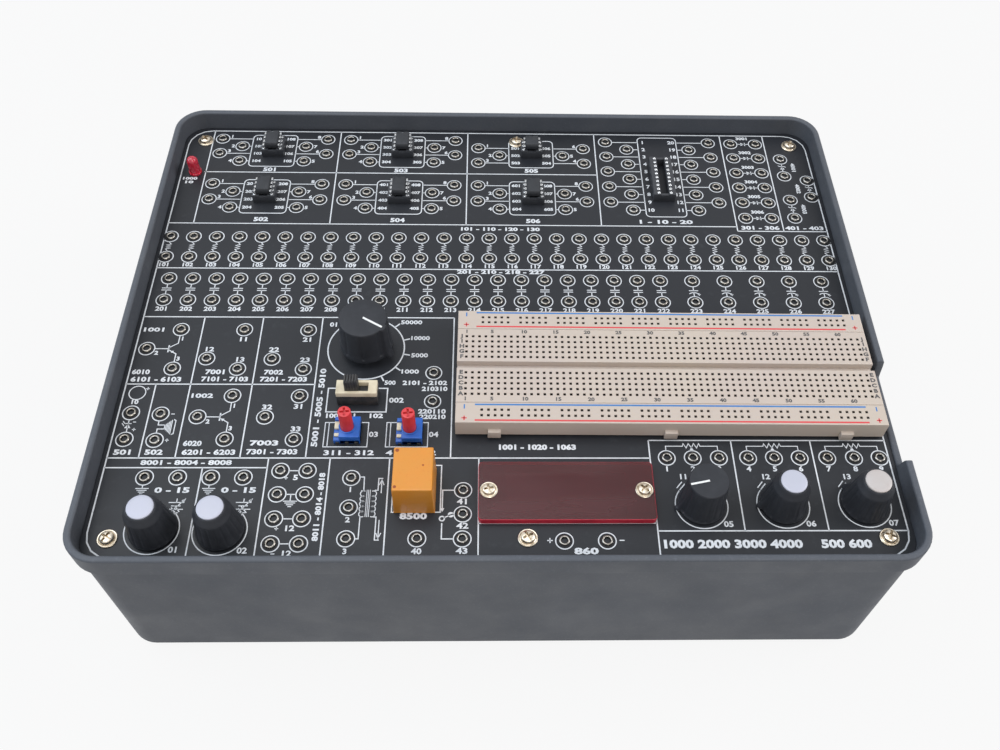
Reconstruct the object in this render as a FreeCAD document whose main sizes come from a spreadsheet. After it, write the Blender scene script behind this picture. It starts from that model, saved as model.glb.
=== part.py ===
"""Bench trainer: a moulded tray with a printed patch panel, sockets, controls and a breadboard.

Millimetres, +Z up, +X to the right and +Y to the back as a user sits at it.
The origin is the middle of the footprint, on the surface that the feet stand on.
"""
import FreeCAD, Part
import math
import os

import Sketcher

SIZES = {
    # Case tray
    "case_length": 304.8,
    "case_width": 234.3,
    "case_height": 82.0,
    "rim_wall": 2.7,
    "rim_corner": 13.0,
    "rim_bevel": 0.6,
    "lip_depth": 10.0,
    "lip_overhang": 1.8,
    "body_wall": 2.7,
    "floor_thickness": 3.0,
    "floor_bevel": 2.4,
    "recess_depth": 9.0,
    "notch_depth": 8.0,
    "notch_back": -33.0,
    "notch_front": -74.0,
    "notch_back_slope": 1.8,
    "notch_front_slope": 2.9,
    "post_radius": 4.0,
    "vent_length": 30.0,
    "vent_width": 3.0,
    "vent_pitch": 7.0,
    # Feet
    "foot_height": 4.0,
    "foot_radius": 7.0,
    "foot_taper": 1.0,
    "foot_inset": 24.0,
    # Panel board
    "panel_gap": 0.2,
    "panel_thickness": 2.0,
    "running_gap": 0.05,
    "fit_gap": 0.15,
    "overrun": 1.0,
    # Panel screws
    "screw_radius": 1.5,
    "screw_length": 12.0,
    "screw_head_radius": 3.6,
    "screw_head_height": 2.2,
    # Patch jacks
    "jack_radius": 2.1,
    "jack_height": 0.9,
    # Chip sockets and chips
    "pin_pitch": 2.54,
    "socket_height": 4.3,
    "socket_width": 10.2,
    "socket_rail": 3.4,
    "socket_slot": 1.2,
    "socket_slot_depth": 1.0,
    "chip_width": 6.4,
    "chip_height": 3.1,
    "chip_stand": 0.5,
    "chip_margin": 0.4,
    "chip_notch_width": 1.6,
    "chip_notch_length": 0.8,
    "chip_leg_width": 1.2,
    "chip_leg_thickness": 0.3,
    "chip_leg_row": 7.62,
    # Breadboard
    "board_edge_gap": 2.35,
    "board_length": 164.8,
    "board_height": 8.5,
    "board_pad": 0.9,
    "strip_width": 35.6,
    "bus_width": 9.3,
    "board_joint": 0.05,
    "board_bevel": 0.8,
    "groove_width": 3.0,
    "groove_depth": 3.0,
    "tab_length": 5.0,
    "tab_width": 1.6,
    "tab_height": 4.0,
    # Power lamp
    "lamp_radius": 2.5,
    "lamp_height": 9.0,
    "lamp_flange_radius": 2.95,
    "lamp_flange_height": 1.0,
    # Relay
    "relay_length": 15.4,
    "relay_width": 18.6,
    "relay_height": 16.0,
    "relay_draft": 0.35,
    "relay_bevel": 0.5,
    # Meter window and display
    "window_length": 64.8,
    "window_width": 24.2,
    "window_thickness": 3.0,
    "window_corner": 1.5,
    "window_screw_pitch": 57.2,
    "window_screw_radius": 1.5,
    "window_head_radius": 3.3,
    "window_head_height": 1.8,
    "window_screw_length": 14.0,
    "window_nut_width": 5.5,
    "window_nut_height": 2.4,
    "display_length": 44.0,
    "display_width": 17.0,
    "display_height": 7.0,
    "display_gap": 0.3,
    "display_corner": 1.0,
    "meter_length": 64.0,
    "meter_width": 26.0,
    "meter_thickness": 1.6,
    # Slide switch
    "slide_length": 15.8,
    "slide_width": 6.5,
    "slide_body_height": 5.8,
    "slide_plate_height": 2.2,
    "slide_slot_length": 9.0,
    "slide_slot_width": 3.9,
    "slide_well_depth": 3.0,
    "slider_length": 5.2,
    "slider_width": 3.7,
    "slider_height": 8.2,
    "slider_rib": 0.45,
    # Trimmers
    "trimmer_length": 10.0,
    "trimmer_width": 9.5,
    "trimmer_height": 4.6,
    "trimmer_step": 2.2,
    "trimmer_shaft_radius": 2.5,
    "trimmer_shaft_height": 15.0,
    "trimmer_well_depth": 1.5,
    "trimmer_slot_width": 0.8,
    "trimmer_slot_length": 3.2,
    "trimmer_slot_depth": 1.2,
    # Potentiometers and knobs
    "pot_radius": 8.0,
    "pot_height": 8.5,
    "pot_bush_radius": 3.5,
    "pot_bush_height": 3.4,
    "pot_shaft_radius": 3.0,
    "pot_shaft_height": 11.5,
    "pot_shaft_depth": 3.0,
    "pot_nut_width": 10.0,
    "pot_nut_height": 2.0,
    "knob_gap": 1.0,
    "knob_height": 16.0,
    "knob_base_radius": 8.6,
    "knob_skirt_height": 1.2,
    "knob_shoulder_radius": 6.9,
    "knob_shoulder_height": 12.0,
    "knob_top_radius": 5.5,
    "knob_hollow_radius": 6.4,
    "knob_hollow_depth": 3.4,
    "knob_nose_width": 2.4,
    "knob_nose_reach": 1.7,
    "cap_radius": 4.75,
    "cap_depth": 1.0,
    "cap_rise": 0.5,
    "plain_top_radius": 7.15,
    "plain_top_height": 16.8,
    # Range selector
    "selector_gap": 3.8,
    "selector_height": 16.2,
    "selector_radius": 10.6,
    "selector_top_radius": 9.5,
    "selector_skirt_height": 2.0,
    "selector_bevel": 0.6,
    "selector_nose_width": 3.4,
    "selector_nose_reach": 2.0,
    "rotary_radius": 13.0,
    "rotary_height": 12.0,
    "rotary_bush_radius": 4.5,
    "rotary_bush_height": 3.3,
    "rotary_shaft_height": 16.0,
    "rotary_shaft_depth": 4.0,
    "rotary_nut_width": 13.0,
    "rotary_nut_height": 2.4,
    # Mains transformer
    "core_length": 56.0,
    "core_width": 24.0,
    "core_height": 46.0,
    "core_leg": 9.0,
    "winding_overhang": 9.0,
    "winding_gap": 0.3,
    "bracket_thickness": 1.5,
    "bracket_tab": 12.0,
    "bracket_seat": 2.0,
    "bracket_screw_head": 3.5,
    "bracket_screw_height": 2.4,
    # Supply board
    "supply_length": 110.0,
    "supply_width": 74.0,
    "supply_thickness": 1.6,
    "standoff_height": 8.0,
    "standoff_radius": 3.5,
    "supply_hole_inset": 5.0,
    "supply_screw_radius": 1.5,
    "supply_head_radius": 2.8,
    "supply_head_height": 1.8,
    "capacitor_radius": 8.0,
    "capacitor_height": 26.0,
    "sink_length": 60.0,
    "sink_height": 28.0,
    "sink_thickness": 2.5,
    "sink_fin": 8.0,
    "sink_fin_thickness": 1.6,
    "regulator_length": 10.0,
    "regulator_height": 15.0,
    "regulator_thickness": 4.4,
    "regulator_lift": 3.0,
    # Speaker
    "speaker_radius": 25.0,
    "speaker_rim": 1.5,
    "speaker_height": 14.0,
    "speaker_magnet_radius": 11.0,
    "speaker_magnet_height": 7.0,
    # Mains inlet and rocker
    "inlet_length": 27.4,
    "inlet_width": 19.8,
    "inlet_flange": 1.5,
    "inlet_flange_margin": 2.6,
    "inlet_depth": 21.0,
    "inlet_recess_length": 24.2,
    "inlet_recess_width": 16.4,
    "inlet_recess_depth": 17.0,
    "inlet_recess_corner": 3.0,
    "inlet_pin_width": 4.0,
    "inlet_pin_thickness": 2.0,
    "inlet_pin_length": 12.5,
    "inlet_pin_row": 14.0,
    "inlet_pin_offset": 4.0,
    "inlet_lift": 40.0,
    "rocker_length": 19.2,
    "rocker_width": 12.9,
    "rocker_flange": 1.3,
    "rocker_flange_margin": 1.1,
    "rocker_depth": 14.0,
    "rocker_well_depth": 9.0,
    "rocker_key_length": 16.0,
    "rocker_key_width": 9.6,
    "rocker_key_depth": 4.0,
    "rocker_key_cheek": 1.5,
    "rocker_key_front": 2.2,
    "rocker_key_rise": 0.6,
    "rocker_pivot_depth": 2.0,
    "rocker_pin_radius": 1.0,
    "rocker_pin_reach": 0.8,
    "rocker_end_gap": 0.6,
}

# The printed layout stands on a grid. Its places below are shares: grid steps from the panel's middle.
LAYOUT_STEPS_ALONG = 29.9
LAYOUT_STEPS_ACROSS = 22.85
# The band to the left of the breadboard has grid steps of its own, from the panel's left edge to the board.
BAND_STEPS = 13.185

SCREW_SHARES = [(-14.0, 10.5), (0.8, 10.6), (14.0, 10.5), (-14.0, -10.4), (0.9, -10.4), (14.0, -10.4)]
BLOCK_COLUMN_SHARES = [-10.72, -4.625, 1.48]
BLOCK_ROW_SHARES = [9.92, 6.865]
BLOCK_JACK_ROW_SHARES = [(0.76, 2.5), (0.25, 1.5), (-0.25, 2.5), (-0.76, 1.5)]
COUPLER_ROW_SHARE = 9.67
COUPLER_JACK_ROW_SHARES = [(0.51, 2.5), (0.0, 1.5), (-0.51, 2.5)]
BLOCK_SOCKET_SHARE = (0.03, 0.04)
COUPLER_SOCKET_SHARE = (0.03, 0.23)
LONG_BLOCK_SHARE = (7.585, 8.36)
LONG_BLOCK_ROWS = 10
LONG_BLOCK_PITCH_SHARE = 0.508
LONG_SOCKET_SHARE = (7.55, 7.96)
DIODE_COLUMN_SHARES = [11.18, 12.38]
DIODE_ROW_SHARES = [10.63, 9.63, 8.61, 7.62, 6.64, 5.64]
ZENER_SHARES = [(13.43, 9.58), (13.43, 8.42), (14.46, 8.13), (14.46, 7.03), (13.44, 6.83), (13.44, 5.67)]
RESISTOR_START_SHARE = -14.5
RESISTOR_COUNT = 30
RESISTOR_ROW_SHARES = [4.27, 3.07]
CAPACITOR_START_SHARE = -14.12
CAPACITOR_COUNT = 22
CAPACITOR_ROW_SHARES = [1.83, 0.64]
LARGE_CAPACITOR_START_SHARE = 8.27
LARGE_CAPACITOR_PITCH_SHARE = 1.407
LARGE_CAPACITOR_COUNT = 5
BAND_JACK_SHARES = [
    (-13.11, -0.94), (-14.31, -1.93), (-13.11, -2.92),
    (-10.53, -0.94), (-11.83, -2.42), (-10.53, -2.93),
    (-7.92, -0.95), (-9.22, -2.43), (-7.92, -2.94),
    (-14.29, -5.04), (-14.29, -6.24), (-13.15, -5.09), (-13.15, -6.28),
    (-10.53, -4.23), (-11.72, -5.22), (-10.53, -6.23),
    (-7.92, -4.24), (-9.14, -5.23), (-7.92, -6.24),
    (-2.71, -3.1), (-2.71, -4.48),
]
LOWER_JACK_SHARES = [
    (-13.2, -7.9), (-11.99, -7.9), (-10.78, -7.9), (-9.58, -7.9),
    (-5.6, -7.92), (-5.6, -9.16), (-5.6, -10.41),
    (-1.45, -8.44), (-1.45, -9.43), (-1.45, -10.42), (-3.07, -10.41),
    (2.21, -10.51), (3.75, -10.51),
]
SUPPLY_JACK_COLUMN_SHARES = [-8.25, -7.25]
SUPPLY_JACK_ROW_SHARES = [-7.61, -8.61, -9.61, -10.6]
TRACK_JACK_SHARES = [6.25, 7.24, 8.24, 9.36, 10.35, 11.34, 12.4, 13.43, 14.42]
TRACK_JACK_ROW_SHARE = -7.05
KNOB_SHARES = [(-12.46, -10.04), (-10.08, -10.06), (7.3, -9.05), (10.34, -9.04), (13.38, -9.03)]
KNOB_REST_ANGLES = [140.0, 140.0, 192.0, 187.0, 133.0]
PLAIN_KNOB = 2
KNOB_FLUTES = 16
KNOB_FLUTE_DEPTH_SHARE = 0.07
SHAFT_SIDES = 12
CAP_SIDES = 16
JACK_SIDES = 5
SCREW_SIDES = 8
ROUND_SIDES = 12
LARGE_SIDES = 16
HEAD_CROWN_SHARE = 0.6
SELECTOR_SHARE = (-5.44, -1.88)
SELECTOR_REST_ANGLE = -31.5
SLIDE_SHARE = (-5.61, -4.34)
TRIMMER_SHARES = [(-5.89, -5.95), (-3.53, -6.0)]
TRIMMER_SHAFT_SHARE = 0.13
RELAY_SHARE = (-3.23, -8.45)
WINDOW_SHARE = (2.355, -8.61)
LAMP_SHARE = (-14.13, 8.38)
LAMP_DOME_STEPS = 3
BREADBOARD_ROW_SHARE = -3.4
BREADBOARD_TAB_SHARES = [-0.41, 0.0, 0.41]
TRANSFORMER_SHARE = (-9.3, 5.2)
SUPPLY_SHARE = (2.6, 2.8)
CAPACITOR_PLACE_SHARES = [(-0.36, 0.28), (-0.18, 0.28), (0.0, 0.28)]
SINK_PLACE_SHARE = (0.12, -0.3)
REGULATOR_PLACE_SHARES = [-0.32, 0.0, 0.32]
SPEAKER_SHARE = (-9.0, -4.0)
INLET_SHARE = -9.3
ROCKER_SHARE = -5.2
ROCKER_REST_ANGLE = 7.0
VENT_COUNT = 7
# Two lengths that differ by less than this are one
TOUCH = 1e-4

doc = FreeCAD.newDocument("bench_trainer")
sheet = doc.addObject("Spreadsheet::Sheet", "sizes")
for row, (alias, length) in enumerate(SIZES.items(), start=1):
    sheet.set(f"A{row}", str(length))
    sheet.setAlias(f"A{row}", alias)
doc.recompute()


class Size:
    """A number worked out from the sheet, kept with the expression that works it out."""

    def __init__(self, value, text):
        self.value = float(value)
        self.text = text

    def join(self, other, sign, value):
        text = other.text if isinstance(other, Size) else repr(other)
        return Size(value, f"({self.text} {sign} {text})")

    def __add__(self, other):
        return self.join(other, "+", self.value + number(other))

    def __sub__(self, other):
        return self.join(other, "-", self.value - number(other))

    def __mul__(self, other):
        return self.join(other, "*", self.value * number(other))

    def __truediv__(self, other):
        return self.join(other, "/", self.value / number(other))

    def __neg__(self):
        return self * -1


def number(size):
    return size.value if isinstance(size, Size) else float(size)


class Named:
    """The sheet's cells as Size values, one attribute for each alias."""

    def __getattr__(self, alias):
        return Size(sheet.get(alias), f"sizes.{alias}")


size = Named()
ZERO = Size(0, "0")
panel_top = size.foot_height + size.case_height - size.recess_depth
panel_under = panel_top - size.panel_thickness
panel_length = size.case_length - size.rim_wall * 2 - size.panel_gap * 2
panel_width = size.case_width - size.rim_wall * 2 - size.panel_gap * 2
step_along = panel_length / LAYOUT_STEPS_ALONG
step_across = panel_width / LAYOUT_STEPS_ACROSS
board_left = panel_length / 2 - size.board_edge_gap - size.board_length
band_step = (board_left + panel_length / 2) / BAND_STEPS
body_length = size.case_length - size.lip_overhang * 2
body_width = size.case_width - size.lip_overhang * 2
floor_top = size.foot_height + size.floor_thickness
wall_back = body_width / 2
nodes = []


def spot(shares):
    """A place on the panel's grid, as a pair of sizes from the middle."""
    return step_along * shares[0], step_across * shares[1]


def band_spot(shares):
    """A place in the band beside the breadboard, which narrows when the board needs more room."""
    return band_step * (shares[0] + LAYOUT_STEPS_ALONG / 2) - panel_length / 2, step_across * shares[1]


def bind(thing, path, length):
    thing.setExpression(path, length.text)


def place(thing, x=ZERO, y=ZERO, z=ZERO, turn=0.0):
    """Puts a sub-part at sizes x, y, z, turned about the vertical by degrees."""
    spin = FreeCAD.Rotation(FreeCAD.Vector(0, 0, 1), turn)
    thing.Placement = FreeCAD.Placement(FreeCAD.Vector(x.value, y.value, z.value), spin)
    for axis, length in (("x", x), ("y", y), ("z", z)):
        bind(thing, f"Placement.Base.{axis}", length)
    return thing


def keep(thing, label):
    """Names a finished sub-part and puts it on the list of nodes."""
    thing.Label = label
    nodes.append(thing)
    return thing


def new_body(label):
    return keep(doc.addObject("PartDesign::Body", label), label)


def new_sketch(body, name, role="XY_Plane", offset=ZERO):
    """A sketch on one of the body's own planes, moved along the plane's normal."""
    sketch = body.newObject("Sketcher::SketchObject", name)
    plane = next(item for item in body.Origin.OriginFeatures if item.Role == role)
    sketch.AttachmentSupport = [(plane, "")]
    sketch.MapMode = "FlatFace"
    sketch.AttachmentOffset.Base.z = offset.value
    bind(sketch, "AttachmentOffset.Base.z", offset)
    return sketch


def hold(sketch, kind, geometry, length, point=None):
    """One dimension of a sketch, bound to its size."""
    if point is None:
        index = sketch.addConstraint(Sketcher.Constraint(kind, geometry, length.value))
    else:
        index = sketch.addConstraint(Sketcher.Constraint(kind, -1, 1, geometry, point, length.value))
    bind(sketch, f"Constraints[{index}]", length)


def hold_point(sketch, geometry, point, x, y):
    hold(sketch, "DistanceX", geometry, x, point)
    hold(sketch, "DistanceY", geometry, y, point)


def draw_outline(sketch, corners):
    """A closed outline of straight edges, each corner held at its pair of sizes."""
    ends = [FreeCAD.Vector(x.value, y.value, 0) for x, y in corners]
    lines = [Part.LineSegment(start, end) for start, end in zip(ends, ends[1:] + ends[:1])]
    edges = list(sketch.addGeometry(lines, False))
    limits = []
    for edge, following in zip(edges, edges[1:] + edges[:1]):
        limits.append(Sketcher.Constraint("Coincident", edge, 2, following, 1))
    for edge, (x, y) in zip(edges, corners):
        limits.append(Sketcher.Constraint("DistanceX", -1, 1, edge, 1, x.value))
        limits.append(Sketcher.Constraint("DistanceY", -1, 1, edge, 1, y.value))
    indices = sketch.addConstraint(limits)[len(edges):]
    lengths = [length for corner in corners for length in corner]
    for index, length in zip(indices, lengths):
        bind(sketch, f"Constraints[{index}]", length)


def draw_rectangle(sketch, length, width, x=ZERO, y=ZERO):
    right, left = x + length / 2, x - length / 2
    back, front = y + width / 2, y - width / 2
    draw_outline(sketch, [(left, front), (right, front), (right, back), (left, back)])


def draw_bevelled(sketch, length, width, bevel):
    """A rectangle about the origin with its corners cut off."""
    x, y = length / 2, width / 2
    draw_outline(sketch, [
        (-x + bevel, -y), (x - bevel, -y), (x, -y + bevel), (x, y - bevel),
        (x - bevel, y), (-x + bevel, y), (-x, y - bevel), (-x, -y + bevel),
    ])


def draw_circle(sketch, radius, x=ZERO, y=ZERO):
    centre = FreeCAD.Vector(x.value, y.value, 0)
    circle = Part.Circle(centre, FreeCAD.Vector(0, 0, 1), radius.value)
    geometry = sketch.addGeometry(circle, False)
    hold_point(sketch, geometry, 3, x, y)
    hold(sketch, "Radius", geometry, radius)


def draw_ring(sketch, sides, radius, x=ZERO, y=ZERO):
    """A round drawn with equal flat sides, its corners at the radius."""
    angles = [(turn + 0.5) * 2 * math.pi / sides for turn in range(sides)]
    draw_outline(sketch, [(x + radius * math.cos(angle), y + radius * math.sin(angle)) for angle in angles])


def around(radius, sides):
    """The corner radius of a many-sided outline drawn around a circle of this radius."""
    return radius / math.cos(math.pi / sides)


def draw_rounded(sketch, length, width, radius):
    """A rectangle about the origin with round corners, its arcs tangent to its sides."""
    across, along = length / 2 - radius, width / 2 - radius
    centres = [(across, along), (-across, along), (-across, -along), (across, -along)]
    arcs, sides = [], []
    for quarter, (x, y) in enumerate(centres):
        centre = FreeCAD.Vector(x.value, y.value, 0)
        circle = Part.Circle(centre, FreeCAD.Vector(0, 0, 1), radius.value)
        start = quarter * math.pi / 2
        arcs.append(sketch.addGeometry(Part.ArcOfCircle(circle, start, start + math.pi / 2), False))
    for arc, following in zip(arcs, arcs[1:] + arcs[:1]):
        start = sketch.getPoint(arc, 2)
        end = sketch.getPoint(following, 1)
        sides.append(sketch.addGeometry(Part.LineSegment(start, end), False))
    for arc, side, following in zip(arcs, sides, arcs[1:] + arcs[:1]):
        sketch.addConstraint(Sketcher.Constraint("Tangent", arc, 2, side, 1))
        sketch.addConstraint(Sketcher.Constraint("Tangent", side, 2, following, 1))
    for arc, (x, y) in zip(arcs, centres):
        hold_point(sketch, arc, 3, x, y)
        hold(sketch, "Radius", arc, radius)


def pad(body, sketch, length, down=False):
    feature = body.newObject("PartDesign::Pad", f"{sketch.Name}_pad")
    feature.Profile = sketch
    feature.Reversed = down
    bind(feature, "Length", length)
    doc.recompute()
    return feature


def pocket(body, sketch, length, up=False, midplane=False):
    """Cuts a sketch away, and refuses a cut that takes nothing."""
    before = body.Shape.Volume
    feature = body.newObject("PartDesign::Pocket", f"{sketch.Name}_pocket")
    feature.Profile = sketch
    feature.Midplane = midplane
    feature.Reversed = up
    bind(feature, "Length", length)
    doc.recompute()
    if not body.Shape.Volume < before:
        raise RuntimeError(f"{sketch.Name} cuts nothing from {body.Label}")
    return feature


def bevel(body, width, wanted):
    """Bevels the edges of the body's last feature that the test picks."""
    base = body.Tip
    edges = [f"Edge{index}" for index, edge in enumerate(base.Shape.Edges, start=1) if wanted(edge)]
    feature = body.newObject("PartDesign::Chamfer", f"{body.Name}_bevel")
    feature.Base = (base, edges)
    bind(feature, "Size", width)
    doc.recompute()
    return feature


def edge_at_height(height):
    """A test for edges that lie level at a height."""
    def wanted(edge):
        box = edge.BoundBox
        return abs(box.ZMin - height.value) < TOUCH and abs(box.ZMax - height.value) < TOUCH
    return wanted


def upright_edge(edge):
    box = edge.BoundBox
    return box.ZLength > TOUCH and box.XLength < TOUCH and box.YLength < TOUCH


def group(label, solids):
    """Loose solids of one kind as one sub-part."""
    feature = doc.addObject("Part::Feature", label)
    feature.Shape = Part.makeCompound(solids)
    feature.Placement = FreeCAD.Placement()
    return keep(feature, label)


def copies(solid, places):
    """Copies of a solid, one at each place given as a vector."""
    made = []
    for vector in places:
        copy = solid.copy()
        copy.translate(vector)
        made.append(copy)
    return made


def level(places, height):
    """Vectors at one height from pairs of sizes."""
    return [FreeCAD.Vector(x.value, y.value, height.value) for x, y in places]


def box_solid(length, width, height, base=ZERO):
    """A box centred over the origin, standing on the level base."""
    corner = FreeCAD.Vector(-length.value / 2, -width.value / 2, base.value)
    return Part.makeBox(length.value, width.value, height.value, corner)


def ring(sides, radius, base=ZERO):
    """A closed wire of equal sides about the vertical, its corners at the radius."""
    corners = []
    for turn in range(sides + 1):
        angle = (turn + 0.5) * 2 * math.pi / sides
        reach = FreeCAD.Vector(math.cos(angle), math.sin(angle), 0) * radius.value
        corners.append(reach + FreeCAD.Vector(0, 0, base.value))
    return Part.makePolygon(corners)


def prism(sides, radius, height, base=ZERO):
    return Part.Face(ring(sides, radius, base)).extrude(FreeCAD.Vector(0, 0, height.value))


def stack(wires):
    """A solid with flat sides between closed wires of equal corner counts, from the bottom up."""
    faces = [Part.Face(wires[0]), Part.Face(wires[-1])]
    for low, high in zip(wires, wires[1:]):
        corners = [vertex.Point for vertex in low.OrderedVertexes]
        uppers = [vertex.Point for vertex in high.OrderedVertexes]
        for turn, corner in enumerate(corners):
            before = turn - 1
            loop = [corners[before], corner, uppers[turn], uppers[before], corners[before]]
            faces.append(Part.Face(Part.makePolygon(loop)))
    solid = Part.Solid(Part.Shell(faces))
    if solid.Volume < 0:
        solid.reverse()
    return solid


def hexagon(width, height, base=ZERO):
    """A nut's prism, given by its width across flats."""
    sides = 6
    return prism(sides, around(width / 2, sides), height, base)


def pan_screw(radius, length, head_radius, head_height):
    """A pan-head screw with its head's seat at the origin's level."""
    head = stack([
        ring(SCREW_SIDES, head_radius),
        ring(SCREW_SIDES, head_radius, head_height / 2),
        ring(SCREW_SIDES, head_radius * HEAD_CROWN_SHARE, head_height),
    ])
    return head.fuse(prism(SCREW_SIDES, radius, length, -length))


def screw_places():
    return [spot(shares) for shares in SCREW_SHARES]


def make_tray():
    """The moulded tray: lip band, ledge for the panel, screw posts, standoffs, notch and vents."""
    tray = new_body("case_tray")
    lip_under = size.foot_height + size.case_height - size.lip_depth
    body_sketch = new_sketch(tray, "tray_body", offset=size.foot_height)
    draw_rounded(body_sketch, body_length, body_width, size.rim_corner - size.lip_overhang)
    pad(tray, body_sketch, size.case_height - size.lip_depth)
    bevel(tray, size.floor_bevel, edge_at_height(size.foot_height))
    lip_sketch = new_sketch(tray, "tray_lip", offset=lip_under)
    draw_rounded(lip_sketch, size.case_length, size.case_width, size.rim_corner)
    pad(tray, lip_sketch, size.lip_depth)
    recess = new_sketch(tray, "tray_recess", offset=panel_under)
    opening_length = size.case_length - size.rim_wall * 2
    opening_width = size.case_width - size.rim_wall * 2
    draw_rounded(recess, opening_length, opening_width, size.rim_corner - size.rim_wall)
    pocket(tray, recess, size.recess_depth + size.panel_thickness + size.overrun, up=True)
    hollow = new_sketch(tray, "tray_hollow", offset=floor_top)
    inner_corner = size.rim_corner - size.lip_overhang - size.body_wall
    draw_rounded(hollow, body_length - size.body_wall * 2, body_width - size.body_wall * 2, inner_corner)
    pocket(tray, hollow, panel_under - floor_top, up=True)
    bevel(tray, size.rim_bevel, edge_at_height(size.foot_height + size.case_height))
    notch = new_sketch(tray, "tray_notch", "YZ_Plane")
    rim_top = size.foot_height + size.case_height
    notch_floor = rim_top - size.notch_depth
    over = rim_top + size.overrun
    draw_outline(notch, [
        (size.notch_front, notch_floor),
        (size.notch_back, notch_floor),
        (size.notch_back + size.notch_back_slope, over),
        (size.notch_front - size.notch_front_slope, over),
    ])
    pocket(tray, notch, size.case_length, up=True)
    posts = new_sketch(tray, "tray_posts", offset=floor_top)
    for x, y in screw_places():
        draw_ring(posts, SCREW_SIDES, size.post_radius, x, y)
    pad(tray, posts, panel_under - floor_top)
    post_bores = new_sketch(tray, "tray_post_bores", offset=panel_under)
    for x, y in screw_places():
        draw_ring(post_bores, SCREW_SIDES, size.screw_radius + size.running_gap, x, y)
    pocket(tray, post_bores, size.screw_length)
    standoffs = new_sketch(tray, "tray_standoffs", offset=floor_top)
    for x, y in supply_holes():
        draw_ring(standoffs, SCREW_SIDES, size.standoff_radius, x, y)
    pad(tray, standoffs, size.standoff_height)
    standoff_bores = new_sketch(tray, "tray_standoff_bores", offset=floor_top + size.standoff_height)
    for x, y in supply_holes():
        draw_ring(standoff_bores, SCREW_SIDES, size.supply_screw_radius + size.running_gap, x, y)
    pocket(tray, standoff_bores, size.standoff_height)
    seats = new_sketch(tray, "tray_bracket_seats", offset=floor_top)
    for x, y in bracket_holes():
        draw_ring(seats, SCREW_SIDES, size.standoff_radius, x, y)
    pad(tray, seats, size.bracket_seat)
    seat_bores = new_sketch(tray, "tray_bracket_bores", offset=floor_top + size.bracket_seat)
    for x, y in bracket_holes():
        draw_ring(seat_bores, SCREW_SIDES, size.screw_radius + size.running_gap, x, y)
    pocket(tray, seat_bores, size.bracket_seat + size.floor_thickness / 2)
    vents = new_sketch(tray, "tray_vents", offset=floor_top)
    x, y = spot(SPEAKER_SHARE)
    for index in range(VENT_COUNT):
        shift = size.vent_pitch * (index - (VENT_COUNT - 1) / 2)
        draw_rectangle(vents, size.vent_width, size.vent_length, x + shift, y)
    pocket(tray, vents, size.floor_thickness + size.overrun)
    rear = new_sketch(tray, "tray_rear_cutouts", "XZ_Plane", -(wall_back + size.overrun))
    height = size.foot_height + size.inlet_lift
    gap = size.fit_gap * 2
    draw_rectangle(rear, size.inlet_length + gap, size.inlet_width + gap, inlet_x(), height)
    draw_rectangle(rear, size.rocker_length + gap, size.rocker_width + gap, rocker_x(), height)
    pocket(tray, rear, size.body_wall + size.overrun * 2, up=True)


def inlet_x():
    return step_along * INLET_SHARE


def rocker_x():
    return step_along * ROCKER_SHARE


def supply_holes():
    """The supply board's four fixing places."""
    x, y = spot(SUPPLY_SHARE)
    along = size.supply_length / 2 - size.supply_hole_inset
    across = size.supply_width / 2 - size.supply_hole_inset
    return [(x - along, y - across), (x + along, y - across), (x + along, y + across), (x - along, y + across)]


def bracket_holes():
    """The transformer bracket's two fixing places."""
    x, y = spot(TRANSFORMER_SHARE)
    reach = size.core_length / 2 + size.bracket_thickness + size.bracket_tab / 2
    return [(x - reach, y), (x + reach, y)]


def make_feet():
    foot = stack([
        ring(ROUND_SIDES, size.foot_radius - size.foot_taper),
        ring(ROUND_SIDES, size.foot_radius, size.foot_height),
    ])
    x = body_length / 2 - size.foot_inset
    y = body_width / 2 - size.foot_inset
    places = [(-x, -y), (x, -y), (x, y), (-x, y)]
    group("rubber_feet", copies(foot, level(places, ZERO)))


def make_panel():
    """The printed board: a flat plate with every hole that a piece passes through."""
    panel = new_body("panel_board")
    outline = new_sketch(panel, "panel_outline", offset=panel_under)
    corner = size.rim_corner - size.rim_wall - size.panel_gap
    draw_rounded(outline, panel_length, panel_width, corner)
    pad(panel, outline, size.panel_thickness)
    screw_holes = new_sketch(panel, "panel_screw_holes", offset=panel_top)
    for x, y in screw_places():
        draw_ring(screw_holes, SCREW_SIDES, size.screw_radius + size.fit_gap, x, y)
    pocket(panel, screw_holes, size.panel_thickness)
    control_holes = new_sketch(panel, "panel_control_holes", offset=panel_top)
    hole_radius = size.pot_bush_radius + size.running_gap
    for shares in KNOB_SHARES:
        draw_ring(control_holes, ROUND_SIDES, hole_radius, *spot(shares))
    pocket(panel, control_holes, size.panel_thickness)
    selector_hole = new_sketch(panel, "panel_selector_hole", offset=panel_top)
    hole_radius = size.rotary_bush_radius + size.running_gap
    draw_ring(selector_hole, ROUND_SIDES, hole_radius, *band_spot(SELECTOR_SHARE))
    pocket(panel, selector_hole, size.panel_thickness)
    meter_holes = new_sketch(panel, "panel_meter_holes", offset=panel_top)
    for x, y in window_screw_places():
        draw_ring(meter_holes, SCREW_SIDES, size.window_screw_radius + size.fit_gap, x, y)
    x, y = spot(WINDOW_SHARE)
    gap = size.fit_gap * 2
    draw_rectangle(meter_holes, size.display_length + gap, size.display_width + gap, x, y)
    pocket(panel, meter_holes, size.panel_thickness)


def make_panel_screws():
    screw = pan_screw(
        size.screw_radius, size.screw_length, size.screw_head_radius, size.screw_head_height)
    group("panel_screws", copies(screw, level(screw_places(), panel_top)))


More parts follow.
